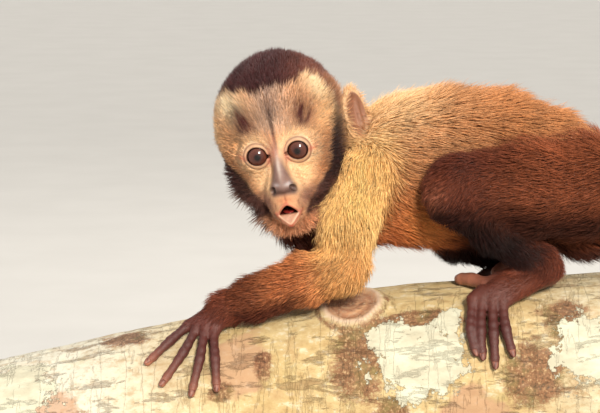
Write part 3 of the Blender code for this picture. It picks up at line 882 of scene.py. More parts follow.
def survey(points):
    """What the masses near each point say of the coat: its length, tint, lie, kind and part."""
    count = len(points)
    total = np.full(count, 1e-9)
    best = np.zeros(count)
    found = {
        "hair": np.zeros(count), "tint": np.zeros((count, 3)), "lie": np.zeros((count, 3)),
        "kind": np.zeros((count, len(KINDS))), "part": np.zeros(count, int),
    }
    for index, part in enumerate(PARTS):
        for mass in part.masses:
            near = np.flatnonzero(((points > mass.low - 8) & (points < mass.high + 8)).all(1))
            if not len(near):
                continue
            inside = points[near]
            weight = np.exp(-np.clip(mass.distance(inside), -2, None) / 2.6)
            share = mass.share(inside)[:, None]
            lie = part.lie(inside) if part.lie else np.tile(mass.end - mass.start, (len(near), 1))
            total[near] += weight
            found["hair"][near] += weight * between(*mass.hair, share[:, 0])
            found["tint"][near] += weight[:, None] * between(mass.tint[0], mass.tint[1], share)
            found["lie"][near] += weight[:, None] * unit(lie)
            found["kind"][near, KIND_NAMES.index(part.kind)] += weight
            better = weight > best[near]
            found["part"][near[better]] = index
            best[near] = np.maximum(best[near], weight)
    for name in ("hair", "tint", "lie", "kind"):
        value = found[name]
        found[name] = value / (total[:, None] if value.ndim == 2 else total)
    return found


def over(base, colour, amount):
    """The base with some of a colour over it: a tuple of screen numbers, or linear values for each point."""
    colour = linear(colour) if isinstance(colour, tuple) else colour
    return base + (colour - base) * np.clip(amount, 0, 1)[:, None]


def layered(base, marks):
    """The base under its marks, each a colour and an amount, in order."""
    for colour, amount in marks:
        base = over(base, colour, amount)
    return base


def shaded(first, second, share):
    """For each point, the first colour turned into the second."""
    return between(linear(first), linear(second), share[:, None])


# up from the eyes, and how far out the pale mask reaches, on the near and the far side
NEAR_EDGE = ((-34, -28, -21.5, -16, -1, 14, 25, 40), (9, 13, 18.5, 24.5, 28, 31, 31.8, 32))
FAR_EDGE = ((-34, -25, -11.5, -3, 5, 20, 40), (10, 15, 23, 31, 37, 40, 41))
# out from the middle, and where the dark cap begins
NEAR_CAP = ((0, 7, 15.5, 19.6, 23, 27, 31.4, 33), (31.5, 32.5, 34.5, 36.5, 35.5, 31.5, 25, 14))
FAR_CAP = ((0, 4.4, 14, 23, 31, 36, 41), (31.5, 31.7, 32.5, 33.0, 32, 28, 22))
BROW_SPOTS = ((1, 17.0, 18.5, 0.0), (-1, 15.4, 17.5, -0.4))  # side, out, up and slant


def on_curve(side, value, near_curve, far_curve):
    """A curve's height at each value, one curve on the near side of the head and one on the far side."""
    return np.where(side > 0, np.interp(value, *near_curve), np.interp(value, *far_curve))


def mask_reach(local):
    """How far each place of the head lies beyond the edge of the pale mask, in millimetres."""
    side, back, up = local.T
    edge = on_curve(side, up + 1.2 * ripple(local, 4, 15), NEAR_EDGE, FAR_EDGE)
    return np.abs(side) - edge + 50 * smooth(28, 50, back)


class Face:
    """Points of the head in its own axes, with the measures that place its markings."""

    def __init__(self, local):
        self.local = local
        self.side, self.back, self.up = local.T
        self.wide = np.abs(self.side)
        self.near = smooth(-3, 3, self.side)
        self.far = 1 - self.near
        self.ahead = smooth(40, 26, self.back)
        self.eye = np.hypot(self.wide - EYE_SPREAD, self.up)
        self.beyond = mask_reach(local)
        self.inside = smooth(0.9, -1.3, self.beyond)
        turn = np.arctan2(self.side, self.up + 9)
        out = np.hypot(self.side, self.up + 9)
        # streaks that run out from the middle of the face
        self.ray = np.stack([turn * 26, out * 0.22, self.back * 0.2], 1)
        chin = smooth(-33, -39, self.up + 1.2 * ripple(self.ray, 1.5, 23))
        self.beard = chin * smooth(20, 12, self.wide) * smooth(30, 16, self.back)

    def spot(self, across, centre, width, middle, height):
        """A soft round mark on the front of the face: where it lies across and up, and its spread."""
        return self.ahead * bell(across, centre, width) * bell(self.up, middle, height)


def mask_marks(face):
    """The pale mask in the brown fur, the dark sideburns along it and the pale brows and cheeks."""
    side, up, beyond, near, inside = face.side, face.up, face.beyond, face.near, face.inside
    by_ear = 0.85 * near * smooth(6.5, 9, beyond) * smooth(20, 4, up) * smooth(46, 30, face.back)
    depth = between(2.6, 3.6, smooth(-4, -16, up))
    sideburn = bell(beyond, depth, depth + 0.6) * smooth(28, 14, up) * smooth(-38, -30, up)
    slant = side - 25 + 0.55 * (up - 28.5)
    return (
        ((126, 82, 62), 0.8 * smooth(2, 26, side) * smooth(14, 34, up)),
        ((206, 150, 96), smooth(16, -6, up) * smooth(40, 58, face.back)),
        ((196, 138, 92), by_ear),
        (shaded((64, 36, 34), (40, 19, 20), near), sideburn),
        ((222, 172, 128), inside * smooth(-40, -32, up)),
        ((168, 112, 74), 0.8 * inside * bell(beyond, -3.2, 4.4) * smooth(12, 0, up)),
        ((210, 182, 164), 0.8 * inside * bell(face.wide, 0, 12) * smooth(7, 15, up)),
        ((244, 226, 188), 0.95 * near * face.spot(slant, 0, 4.6, 29, 8)),
        ((255, 240, 204), 0.95 * face.far * face.spot(side, -23, 8, 26.5, 7)),
        ((244, 210, 162), 0.85 * face.far * bell(beyond, -3, 5) * bell(up, 15, 12)),
        ((238, 198, 148), 0.7 * near * bell(beyond, -3, 4) * bell(up, 16, 9)),
    )


def cap_marks(face):
    """The two dark brow spots, the dark cap, with painted shade on its far side, and the line down the
    forehead.
    """
    side, back, up, wide = face.side, face.back, face.up, face.wide
    marks = []
    streaky = 1.2 * (0.85 + 0.45 * ripple(face.ray, 0.8, 19))
    for direction, out, high, slope in BROW_SPOTS:
        across = side * direction - out + slope * (up - high)
        dark = streaky * face.spot(across, 0, 6.2, high, 9.2)
        marks.append(((88, 40, 38), dark * smooth(-2, 2, side * direction)))
    hairline = on_curve(side, wide, NEAR_CAP, FAR_CAP) - 30 * smooth(28, 50, back)
    cap = smooth(hairline - 2.0, hairline + 2.4, up + 1.6 * ripple(face.ray, 1.2, 17))
    by_ear = bell(back, 34, 9) * bell(up, 22, 10) * smooth(26, 32, side)
    peak = face.ahead * bell(wide, 0, 5.0) * smooth(34, 26, up) * smooth(14, 22, up)
    line = face.ahead * bell(side, 0, 0.95) * smooth(-6, 0, up) * smooth(27, 20, up)
    return (
        *marks,
        # painted shade: the cap darker on the far side of the head, lighter on the near side
        (shaded((66, 35, 36), (106, 62, 50), smooth(2, 28, side)), cap * smooth(-4, 8, up)),
        ((190, 138, 104), 0.7 * by_ear),
        ((122, 92, 84), 0.5 * peak),
        ((70, 48, 46), line),
    )


def eye_marks(face):
    """Pale rings and cheeks round the eyes, painted shade in the fold round each eye, the rims of the lids
    and the pink corners.
    """
    side, up, wide, eye = face.side, face.up, face.wide, face.eye
    lashes = smooth(6.35, 5.75, np.hypot(wide - EYE_SPREAD, up * 1.09))
    return (
        ((240, 204, 162), 0.85 * face.ahead * bell(eye, 8.6, 3.6) * face.inside),
        ((240, 196, 146), 0.85 * face.spot(wide, 11.5, 6.0, -13, 7)),
        ((172, 108, 90), 0.85 * face.spot(side, -1.5, 3.4, 1, 8)),
        ((236, 180, 140), 0.6 * face.ahead * smooth(7.6, 6.4, eye)),
        # painted shade: a brown line in the fold round each eye
        ((132, 72, 54), 0.75 * face.ahead * bell(eye, 7.5, 0.45)),
        ((206, 108, 88), 0.6 * face.spot(wide, 5.2, 2.2, -2.5, 4.6)),
        ((206, 104, 82), 0.65 * face.spot(wide, 19.2, 2.4, -0.5, 1.7)),
        ((62, 30, 24), 0.95 * lashes * (face.back < 12)),
    )


def nose_marks(face):
    """The grey nose with its painted highlights, painted shade in the nostrils, along the muzzle's creases
    and under the jaw, and the grizzled chin.
    """
    side, back, up, wide = face.side, face.back, face.up, face.wide
    bridge = wide - 2.4 - 0.34 * np.clip(-5 - up, 0, 14)
    nose = face.ahead * smooth(1.2, -0.8, bridge) * smooth(0, -7, up) * smooth(-24, -20, up)
    jowl = smooth(12, 18, wide) * smooth(-18, -25, up) * smooth(-36, -30, up)
    far_jaw = face.far * face.ahead * smooth(6, 10, face.beyond) * smooth(-16, -26, up)
    return (
        ((140, 106, 100), 0.9 * nose),
        ((94, 64, 60), 0.7 * nose * smooth(-16, -21, up) * smooth(-0.2, -1.6, bridge)),
        # painted highlights: a pale line down the bridge and spots on both wings of the nose
        ((236, 214, 200), 0.75 * face.spot(side, 0, 1.0, -6, 6)),
        ((236, 222, 220), 0.8 * face.spot(side, 3.6, 1.7, -16.0, 1.0)),
        ((220, 200, 198), 0.7 * face.spot(side, -2.8, 1.9, -15.6, 0.9)),
        # painted shade along the creases beside the muzzle
        ((140, 100, 88), 0.8 * face.spot(wide, 11.5, 4.2, -26, 6)),
        ((96, 62, 56), 0.75 * jowl),
        ((206, 132, 92), 0.9 * face.spot(wide, 0, 5.5, -25.2, 3.0)),
        # painted shade in the groove under the nose
        ((136, 76, 58), 0.7 * face.spot(side, 0, 0.5, -24.4, 2.2)),
        ((216, 160, 124), 0.9 * face.beard * smooth(-52, -46, up)),
        # painted shade under the jaw, behind the chin
        ((58, 36, 36), smooth(6, 14, back) * smooth(-36, -41, up)),
        ((168, 134, 112), 0.8 * far_jaw * (0.7 + 0.5 * ripple(face.ray, 1.1, 29))),
        # painted shade: the nostrils' openings near black
        *[
            ((24, 12, 14), 0.97 * bell(length_of(face.local - nostril_middle(direction)), 0, 2.7))
            for direction in (-1, 1)
        ],
    )


def mouth_marks(face):
    """The pale lips with their pink edges, and the dark red of the mouth, its own red deepened by painted
    shade.
    """
    side, back, up, wide = face.side, face.back, face.up, face.wide
    front = smooth(MOUTH_FRONT + 8, MOUTH_FRONT + 5, back)
    rim = up - lower_lip(side)
    arch = up - upper_lip(side)
    floor = up - MOUTH_FLOOR
    lip = front * smooth(-0.4, 0.8, rim) * smooth(8.4, 7.4, wide) * smooth(1.6, 0.2, floor)
    groove = smooth(1.2, 2.4, rim) * smooth(6.0, 4.4, wide)
    hole = smooth(0.5, -0.3, arch) * smooth(-0.3, 0.4, floor)
    return (
        ((196, 104, 80), 0.55 * bell(rim, 0.2, 1.3) * front * (floor < 2) * (wide < 8.6)),
        ((252, 212, 178), lip * smooth(0.5, 1.6, rim)),
        ((206, 142, 112), 0.8 * lip * groove),
        ((196, 92, 66), 0.85 * front * bell(side, 0, 1.6) * bell(up, LIP_TIP + 0.4, 1.3)),
        ((206, 108, 82), 0.8 * bell(arch, 0.9, 1.1) * front * (wide < MOUTH_HALF + 1.4)),
        # the mouth's own red, deepened by painted shade inside the opening
        ((96, 12, 10), hole * smooth(MOUTH_FRONT + 0.3, MOUTH_FRONT + 2.6, back) * front),
    )


def face_tint(local):
    """The head's colours: its markings in order, then streaks of tone in the fur, then the mouth's inside,
    its red darkened by painted shade.
    """
    face = Face(local)
    tint = np.tile(linear((84, 52, 48)), (len(local), 1))
    for marks in (mask_marks, cap_marks, eye_marks, nose_marks, mouth_marks):
        tint = layered(tint, marks(face))
    furry = smooth(8, 11, face.eye) * smooth(5, 9, np.hypot(face.wide, np.clip(face.up + 4, 0, 20)))
    tint = tint * (1 + (0.28 + 0.3 * face.beard) * ripple(face.ray, 1, 11) * furry)[:, None]
    gullet = (face.wide < 7) & (face.up > -35.5) & (face.up < -26) & (face.back < 5)
    # painted shade: the mouth's inside darkest red deep behind the lips
    return over(tint, (84, 10, 8), smooth(MOUTH_FRONT + 2.2, MOUTH_FRONT + 4, face.back) * gullet)


def bare_share(local):
    """1 on naked skin, 0 under the coat. Only the eye rims, nose, lips and mouth are bare on the head."""
    side, back, up = local.T
    wide = np.abs(side)
    eye = np.hypot(wide - EYE_SPREAD, up)
    bridge = 3.4 + 0.34 * np.clip(-5 - up, 0, 14)
    nose = smooth(0.8, -0.8, wide - bridge) * smooth(1, -4, up) * smooth(-23.6, -21.5, up)
    bare = np.maximum(smooth(8.4, 7.0, eye) * (back < 16), nose)
    return np.maximum(bare, front_of_mouth(side, back, up))


def front_of_mouth(side, back, up):
    """1 on the lips and in the mouth."""
    inside = smooth(-1.2, 0.2, up - lower_lip(side)) * smooth(2.2, 1.2, up - upper_lip(side))
    return inside * smooth(9.2, 8.2, np.abs(side)) * smooth(MOUTH_FRONT + 10, MOUTH_FRONT + 7, back)


def body_marks(points, rise, kind):
    """Warm patches on the trunk; dark legs, groin and forearms; painted light where the fore trunk and neck
    face up and on the near flank by the knee; and painted shade on the undersides of trunk, neck, arms and
    legs, along the bottom of the belly, on the throat under the chin and, with darker hair, on the forearms'
    upper sides.
    """
    x, y, z = points.T
    leg, arm, neck = kind["leg"], kind["arm"], kind["neck"]
    body = kind["trunk"] + neck
    return (
        # painted shade: the trunk and neck darker where they face down
        ((142, 70, 40), 0.85 * body * smooth(-0.1, -0.75, rise)),
        ((178, 100, 56), 0.55 * body * smooth(292, 262, z) * smooth(6, 22, x)),
        # painted shade along the bottom of the belly
        ((120, 56, 34), 0.75 * body * smooth(244, 235, z)),
        # painted light: the near flank lighter where the knee would shade it
        ((232, 154, 84), 0.75 * body * bell(x, 40, 13) * bell(z, 254, 13) * (y < 0)),
        ((176, 112, 88), 0.5 * leg * bell(x, 50, 5) * bell(z, 271, 7)),
        # painted shade on the throat and chest under the chin
        ((92, 58, 52), 0.9 * neck * smooth(264, 250, z) * smooth(-8, -22, x) * smooth(14, -6, y)),
        # painted light: the fore trunk and neck paler where they face up
        ((240, 212, 166), 0.5 * body * smooth(0.2, 0.9, rise) * smooth(60, 25, x)),
        (SABLE, 0.85 * body * smooth(50, 62, x) * smooth(258, 246, z)),
        (CHOCOLATE, 0.5 * leg * smooth(0.4, 0.85, rise) * smooth(112, 92, x)),
        # painted shade: the legs darker where they face down
        (SABLE, 0.85 * leg * smooth(0.1, -0.65, rise)),
        # painted shade on the forearms' undersides
        (CHOCOLATE, 0.85 * arm * smooth(-0.05, -0.7, rise) * smooth(-14, -34, x)),
        # darker hair and painted shade on the forearms' upper sides
        (CHOCOLATE, 0.55 * arm * smooth(0.55, 0.95, rise) * smooth(-34, -50, x)),
    )


def fringe_share(local, face, skull):
    """1 where the hair is a loose fringe: past the mask's edge, under the chin and before the near ear."""
    side, back, up = local.T
    low = between(smooth(-4, -14, up), 1, 0.25 * smooth(0, -2, side))
    fringe = face * smooth(0.5, 3, mask_reach(local)) * low
    fringe = np.maximum(fringe, face * smooth(-34, -39, up) * smooth(-9, -4, back))
    fringe = fringe * smooth(30, 18, back) * (1 + smooth(-12, -24, up) * smooth(0, -10, side))
    by_ear = bell(back, 31, 9) * bell(up, 19, 11) * smooth(26, 32, side)
    return np.maximum(fringe, skull * by_ear)


def describe(points, normals):
    """The coat and the markings at points of the skin: one description for the skin and the tufts on it."""
    found = survey(points)
    local = to_head(points)
    kind = by_kind(found["kind"])
    face = np.clip(kind["skull"] + kind["muzzle"], 0, 1)
    ear, hand = kind["ear"], kind["hand"]
    cup = inside_ear(points)
    tint = layered(found["tint"], body_marks(points, normals[:, 2], kind))
    tint = tint * (1 + (0.65 - 0.5 * smooth(20, 40, points[:, 0])) * hand)[:, None]
    tint = over(tint, face_tint(local), face)
    # painted shade: the ear's cup darker than its pale rim
    tint = layered(tint, (((240, 200, 152), 0.9 * ear), ((140, 78, 60), 0.85 * ear * cup)))
    tint = tint * (1 + 0.10 * rough(points, 14, 3, 2) + 0.07 * ripple(points, 4, 9))[:, None]
    grip = hand + kind["digit"]
    palm = smooth(0.2, -0.5, (normals * radial_from_branch(points)).sum(1)) * grip
    bare = np.maximum(np.maximum(bare_share(local) * face, palm), ear * cup)
    whiskers = kind["muzzle"] + kind["skull"] * smooth(-14, -26, local[:, 2])
    crown = kind["skull"] * smooth(24, 36, local[:, 2])
    body = kind["trunk"] + kind["neck"]
    return {
        **found,
        "tint": np.clip(tint, 0.002, 0.95),
        "bare": np.clip(bare, 0, 1),
        "naked_look": np.clip(bare + kind["digit"] * 0.9 + hand * 0.4, 0, 1),
        "tip": 0.34 + 0.35 * whiskers + 0.55 * crown + 0.4 * ear + 0.25 * body,
        "fringe": fringe_share(local, face, kind["skull"]),
    }


def radial_from_branch(points):
    off = np.zeros_like(points)
    off[:, 1] = points[:, 1]
    off[:, 2] = points[:, 2] - branch_height(points[:, 0])
    return unit(off)


def inside_ear(points):
    return smooth(1.6, 0.2, np.minimum(ear_hollow(points, "left"), ear_hollow(points, "right")))


# ---- the coat: closed three-sided tufts ------------------------------------------------------

COAT_SCALE = 0.79  # share of the tufts in KINDS that are grown
BENT_TUFT = 5.6  # mm, the length from which a tuft bends
UNDERCOAT = 0.46  # share of the long coat that is short straight tufts
UNDERCOAT_LENGTH = 0.62  # against the long coat's
WILD = 0.12  # share of the tufts that stand up from the rest
BURIED = 0.25  # mm of each tuft's foot below the skin
MOST_TRIANGLES = 190000
PATCH = 0.003  # side of a tuft's square on the unwrap
CLUMPING = 0.22  # how far each tip leans to its leading tuft's
TUFTS_TO_LEADER = 13
ROOT_TINT = (1.04, 0.91, 0.76)  # a tuft's root against its tip: warmer, as the hair's own colour and as painted warm shade deep in the coat
GROUPS = {
    "skull": "head", "muzzle": "head", "ear": "ears", "neck": "neck", "trunk": "trunk", "arm": "arms",
    "leg": "legs", "hand": "hands", "digit": "hands", "tail": "tail",
}
COAT_SLOTS = {
    "head": "coat_cap", "ears": "ear_skin", "neck": "coat_gold", "trunk": "coat_gold", "arms": "coat_gold",
    "legs": "coat_umber", "hands": "coat_umber", "tail": "coat_umber",
}


def charts():
    """For each part, its place in a square unwrap: cylinders cut open along their length, packed in rows."""
    rows = math.ceil(math.sqrt(len(PARTS)))
    return [((index % rows) / rows, (index // rows) / rows, 1 / rows) for index in range(len(PARTS))]


def unwrap(points, part_index):
    """Where each point lies on the unwrap of the skin."""
    place = np.zeros((len(points), 2))
    for index, (u, v, size) in enumerate(charts()):
        mine = part_index == index
        if not mine.any():
            continue
        part = PARTS[index]
        start = part.masses[0].start
        last = part.masses[-1]
        end = last.start if last.end is None else last.end
        axis = end - start if np.linalg.norm(end - start) > 15 else v3(0, 1, 0)
        axis = axis / np.linalg.norm(axis)
        across = np.cross(axis, v3(0.3, 0.2, 0.93))
        across /= np.linalg.norm(across)
        third = np.cross(axis, across)
        off = points[mine] - start
        along = off @ axis
        around = np.arctan2(off @ third, off @ across) / (2 * math.pi) + 0.5
        along = (along - along.min()) / max(np.ptp(along), 1e-6)
        place[mine, 0] = u + size * (0.04 + 0.92 * around)
        place[mine, 1] = v + size * (0.04 + 0.92 * along)
    return place


def scatter_roots(body, points, normals, look, rng):
    """Places on the skin, as dense as each kind of coat asks."""
    mesh = body.data
    triangles = np.empty(len(mesh.polygons) * 3, np.int32)
    mesh.polygons.foreach_get("vertices", triangles)
    triangles = triangles.reshape(-1, 3)
    kind = look["kind"]
    density = kind @ np.array([KINDS[name][0] for name in KIND_NAMES])
    density = density * (1 - look["bare"]) * smooth(-0.3, 0.4, branch_distance(points) - 0.5)
    corners = points[triangles]
    area = np.linalg.norm(np.cross(corners[:, 1] - corners[:, 0], corners[:, 2] - corners[:, 0]), axis=1) / 2
    wanted = area * density[triangles].mean(1) * COAT_SCALE
    count = int(wanted.sum())
    edges = np.cumsum(wanted)
    picks = (np.arange(count) + rng.random(count)) * (edges[-1] / count)
    chosen = np.minimum(np.searchsorted(edges, picks), len(wanted) - 1)
    first, second = rng.random(count), rng.random(count)
    flip = first + second > 1
    first[flip], second[flip] = 1 - first[flip], 1 - second[flip]
    share = np.stack([1 - first - second, first, second], 1)
    index = triangles[chosen]

    def at(values):
        if values.ndim == 1:
            return (values[index] * share).sum(1)
        return (values[index] * share[:, :, None]).sum(1)

    roots = {name: at(look[name]) for name in ("tint", "hair", "lie", "kind", "tip", "fringe")}
    return {**roots, "root": at(points), "normal": unit(at(normals)), "part": look["part"][index[:, 0]]}


def turned(vectors, axes, angles):
    """Vectors turned about axes at right angles to them."""
    return vectors * np.cos(angles)[:, None] + np.cross(axes, vectors) * np.sin(angles)[:, None]


def comb(roots, rng):
    """Works out each tuft's length, width and the run of its spine."""
    root, normal = roots["root"], roots["normal"]
    count = len(root)
    lie = roots["lie"] - (roots["lie"] * normal).sum(1)[:, None] * normal
    lie = unit(lie)
    swirl = 0.30 * ripple(root, 13, 31) + 0.24 * ripple(root, 5, 37) + rng.normal(0, 0.16, count)
    lie = turned(lie, normal, swirl)
    settings = np.array([KINDS[name] for name in KIND_NAMES])
    kind = by_kind(roots["kind"])
    width = roots["kind"] @ settings[:, 1]
    lift = np.radians(roots["kind"] @ settings[:, 2]) * rng.uniform(0.65, 1.35, count)
    ridge = kind["trunk"] * smooth(0.5, 0.95, normal[:, 2])
    lift = lift + ridge * (0.12 + 0.35 * smooth(0.0, 0.9, ripple(root, 11, 41)))
    lift = lift + 0.2 * kind["trunk"] * smooth(-0.2, -0.9, normal[:, 2])
    lift = lift + 0.30 * kind["skull"] * smooth(5, 7.5, roots["hair"])
    lift = lift + 0.30 * roots["fringe"] * rng.uniform(0.4, 1.6, count)
    length = roots["hair"] * rng.uniform(0.72, 1.14, count) * (1 + 0.14 * ripple(root, 9, 43))
    length = length * (1 + 0.75 * roots["fringe"] * rng.uniform(0.3, 1.3, count))
    wild = (rng.random(count) < WILD) & (roots["hair"] > 4.5)
    lift = lift * np.where(wild, 1.7, 1)
    width = width * np.where(wild, 0.65, 1) * rng.uniform(0.7, 1.25, count)
    under = (rng.random(count) < UNDERCOAT) & (length > BENT_TUFT)
    length = length * np.where(under, UNDERCOAT_LENGTH, 1)
    return lie, np.minimum(lift, 1.2), np.maximum(length, 0.35), width, under


def spine(root, normal, lie, lift, length, share):
    """The place along each tuft's bent middle line, from its root at 0 to its tip at 1."""
    rise = np.sin(lift) * (share - 0.42 * share * share) * 1.25
    run = np.cos(lift) * share
    return root + (lie * run[:, None] + normal * rise[:, None]) * length[:, None]


def clump(root, tips, rng):
    """The tip that each tuft leans to: that of the nearest of a few leading tufts."""
    leaders = rng.choice(len(root), max(len(root) // TUFTS_TO_LEADER, 1), replace=False)
    tree = kdtree.KDTree(len(leaders))
    for index, leader in enumerate(leaders):
        tree.insert(root[leader], index)
    tree.balance()
    nearest = np.array([tree.find(place)[1] for place in root])
    return tips[leaders[nearest]]


def tuft_faces(rings):
    """Faces of one closed three-sided tuft: its foot, its sides and its tip."""
    faces = [(2, 1, 0)]
    for ring in range(rings - 1):
        low, high = ring * 3, ring * 3 + 3
        for corner in range(3):
            after = (corner + 1) % 3
            faces += [(low + corner, low + after, high + after), (low + corner, high + after, high + corner)]
    last = (rings - 1) * 3
    faces += [(last + corner, last + (corner + 1) % 3, rings * 3) for corner in range(3)]
    return np.array(faces)


def tuft_mesh(name, roots, combed, lead, rings, shades, material):
    """One joined mesh of closed tufts, with its colours and its map for baking."""
    lie, lift, length, width = combed
    root, normal = roots["root"], roots["normal"]
    count = len(root)
    spines = []
    for share in np.linspace(0, 1, rings + 1):
        place = spine(root - normal * BURIED, normal, lie, lift, length, np.full(count, share))
        spines.append(place + CLUMPING * share ** 1.7 * (lead - place))
    size = rings * 3 + 1
    verts = np.empty((count, size, 3))
    shade = np.empty((count, size))
    maps = np.empty((count, size, 2))
    chart = unwrap(root, roots["part"])
    for ring in range(rings):
        ahead = unit(spines[ring + 1] - spines[ring])
        across = unit(np.cross(ahead, normal))
        above = np.cross(across, ahead)
        radius = width / 2 * (1.0 - 0.62 * (ring / rings) ** 1.3)
        for corner, angle in enumerate((90, 210, 330)):
            point = ring * 3 + corner
            out = across * math.cos(math.radians(angle)) + above * (0.7 * math.sin(math.radians(angle)))
            verts[:, point] = spines[ring] + out * radius[:, None]
            shade[:, point] = ring / rings
            maps[:, point] = chart + PATCH * np.array([corner / 2 - 0.5, ring / rings - 0.5])
    verts[:, -1] = spines[-1]
    shade[:, -1] = 1
    maps[:, -1] = chart + PATCH * np.array([0, 0.5])
    index = (tuft_faces(rings)[None] + (np.arange(count) * size)[:, None, None]).reshape(-1)

    mesh = bpy.data.meshes.new(name)
    mesh.vertices.add(count * size)
    mesh.vertices.foreach_set("co", (verts * MM).astype(np.float32).ravel())
    mesh.loops.add(len(index))
    mesh.loops.foreach_set("vertex_index", index.astype(np.int32))
    mesh.polygons.add(len(index) // 3)
    mesh.polygons.foreach_set("loop_start", np.arange(0, len(index), 3, dtype=np.int32))
    mesh.update(calc_edges=True)
    mesh.shade_smooth()
    # tips lighter than roots, and roots warmer: the hair's own banding, with painted warm shade deep in the
    # coat
    bright = 0.84 + roots["tip"][:, None] * shade
    depth = between(v3(ROOT_TINT), v3(1, 1, 1), (shade ** 0.6)[:, :, None])
    tint = roots["tint"][:, None, :] * shades[:, None, :] * bright[:, :, None] * depth
    tint = tint / np.maximum(tint.max(2, keepdims=True), 1)
    paint(mesh, "markings", np.maximum(tint, 0.001).reshape(-1, 3))
    layer = mesh.uv_layers.new(name="OFBake")
    layer.uv.foreach_set("vector", np.clip(maps.reshape(-1, 2)[index], 0, 1).astype(np.float32).ravel())
    mesh.materials.append(material)
    return add_object(name, mesh)


def tuft_tones(root, rng):
    """How much brighter, warmer or darker each tuft is than its markings."""
    count = len(root)
    tone = 1 + rng.normal(0, 0.11, count) + 0.10 * ripple(root, 7, 51)
    warmth = rng.normal(0, 0.035, count)
    shades = np.stack([tone * (1 + warmth), tone, tone * (1 - 1.5 * warmth)], 1)
    return shades * np.where(rng.random(count) < 0.06, rng.choice([0.62, 1.32], count), 1)[:, None]


def grow_coat(body, points, normals, look):
    """Every coat piece, by group, each under MOST_TRIANGLES triangles."""
    rng = np.random.default_rng(SEED)
    roots = scatter_roots(body, points, normals, look, rng)
    lie, lift, length, width, under = comb(roots, rng)
    tips = spine(roots["root"], roots["normal"], lie, lift, length, np.ones(len(lift)))
    lead = clump(roots["root"], tips, rng)
    straight = under | (length < BENT_TUFT)
    stray = length_of(lead - tips)
    reach = np.minimum(1, 0.45 * length / np.maximum(stray, 1e-6))
    reach = reach * (1 - 0.8 * np.minimum(roots["fringe"], 1))
    lead = tips + (lead - tips) * reach[:, None]
    shades = tuft_tones(roots["root"], rng)
    group = np.array([GROUPS[name] for name in KIND_NAMES])[roots["kind"].argmax(1)]
    fur = coat_material()
    pieces = []
    for name in sorted(COAT_SLOTS):
        for rings, title in ((1, "straight"), (2, "bent")):
            mine = np.flatnonzero((group == name) & (straight == (rings == 1)))
            if not len(mine):
                continue
            mine = mine[np.argsort(roots["root"][mine, 0])]
            count = math.ceil(len(mine) * len(tuft_faces(rings)) / MOST_TRIANGLES)
            for number, batch in enumerate(np.array_split(mine, count), 1):
                chosen = {key: value[batch] for key, value in roots.items()}
                combed = [values[batch] for values in (lie, lift, length, width)]
                full_name = f"coat_{name}_{title}_{number}"
                piece = tuft_mesh(full_name, chosen, combed, lead[batch], rings, shades[batch], fur)
                pieces.append(piece)
    return pieces


# ---- materials -------------------------------------------------------------------------------


def principled(name, **settings):
    """A material whose Principled sockets hold the given constants; returns it with its tree and shader."""
    material = bpy.data.materials.new(name)
    material.use_nodes = True
    shader = next(node for node in material.node_tree.nodes if node.type == "BSDF_PRINCIPLED")
    for socket, value in settings.items():
        shader.inputs[socket.replace("_", " ")].default_value = value
    return material, material.node_tree, shader


def node(tree, kind, values=None, **properties):
    """A node with its properties, and each input set to a number, a colour or another node's output."""
    made = tree.nodes.new("ShaderNode" + kind)
    for name, value in properties.items():
        setattr(made, name, value)
    for name, value in (values or {}).items():
        if isinstance(value, bpy.types.NodeSocket):
            tree.links.new(value, made.inputs[name])
        else:
            made.inputs[name].default_value = value
    return made


def coordinates(tree, scale=(1, 1, 1)):
    """Object coordinates, stretched."""
    source = tree.nodes.new("ShaderNodeTexCoord").outputs["Object"]
    return node(tree, "Mapping", {"Vector": source, "Scale": scale}).outputs["Vector"]


def noise_of(tree, scale, detail=4.0, roughness=0.55, stretch=(1, 1, 1)):
    values = {"Vector": coordinates(tree, stretch), "Scale": scale, "Detail": detail, "Roughness": roughness}
    return node(tree, "TexNoise", values).outputs["Fac"]


def remap(tree, value, low, high, to_low=0.0, to_high=1.0):
    values = {"Value": value, "From Min": low, "From Max": high, "To Min": to_low, "To Max": to_high}
    return node(tree, "MapRange", values, clamp=True).outputs["Result"]


def blend_colour(tree, share, first, second, kind="MIX"):
    made = node(tree, "Mix", data_type="RGBA", blend_type=kind, clamp_factor=True)
    for socket, value in ((made.inputs[0], share), (made.inputs[6], first), (made.inputs[7], second)):
        if isinstance(value, bpy.types.NodeSocket):
            tree.links.new(value, socket)
        else:
            socket.default_value = value
    return made.outputs[2]


def arithmetic(tree, operation, first, second):
    return node(tree, "Math", {0: first, 1: second}, operation=operation).outputs[0]


def plus(tree, base, value, share):
    """The base with a share of a value added."""
    return arithmetic(tree, "ADD", base, arithmetic(tree, "MULTIPLY", value, share))


def about_half(tree, noise):
    """Noise with its middle moved to 0."""
    return arithmetic(tree, "SUBTRACT", noise, 0.5)


def attribute(tree, name, output="Fac"):
    return node(tree, "Attribute", attribute_name=name).outputs[output]


def rgba(*colour):
    return (*[float(value) for value in linear(colour)], 1.0)


def tinge(tree, base, value, low, high, most, colour):
    """The base with up to a share of a colour over it as the value goes from low to high."""
    return blend_colour(tree, remap(tree, value, low, high, 0, most), base, rgba(*colour))


def two_tone(tree, value, low, high, first, second):
    """One colour turning into another as the value goes from low to high."""
    return blend_colour(tree, remap(tree, value, low, high), rgba(*first), rgba(*second))


def bump(tree, shader, height, strength, distance):
    made = node(tree, "Bump", {"Height": height, "Strength": strength, "Distance": distance})
    tree.links.new(made.outputs["Normal"], shader.inputs["Normal"])


def markings_times(tree, tone):
    """The stored markings made brighter or darker by a tone."""
    colour = attribute(tree, "markings", "Color")
    return node(tree, "VectorMath", {0: colour, 1: tone}, operation="MULTIPLY").outputs[0]


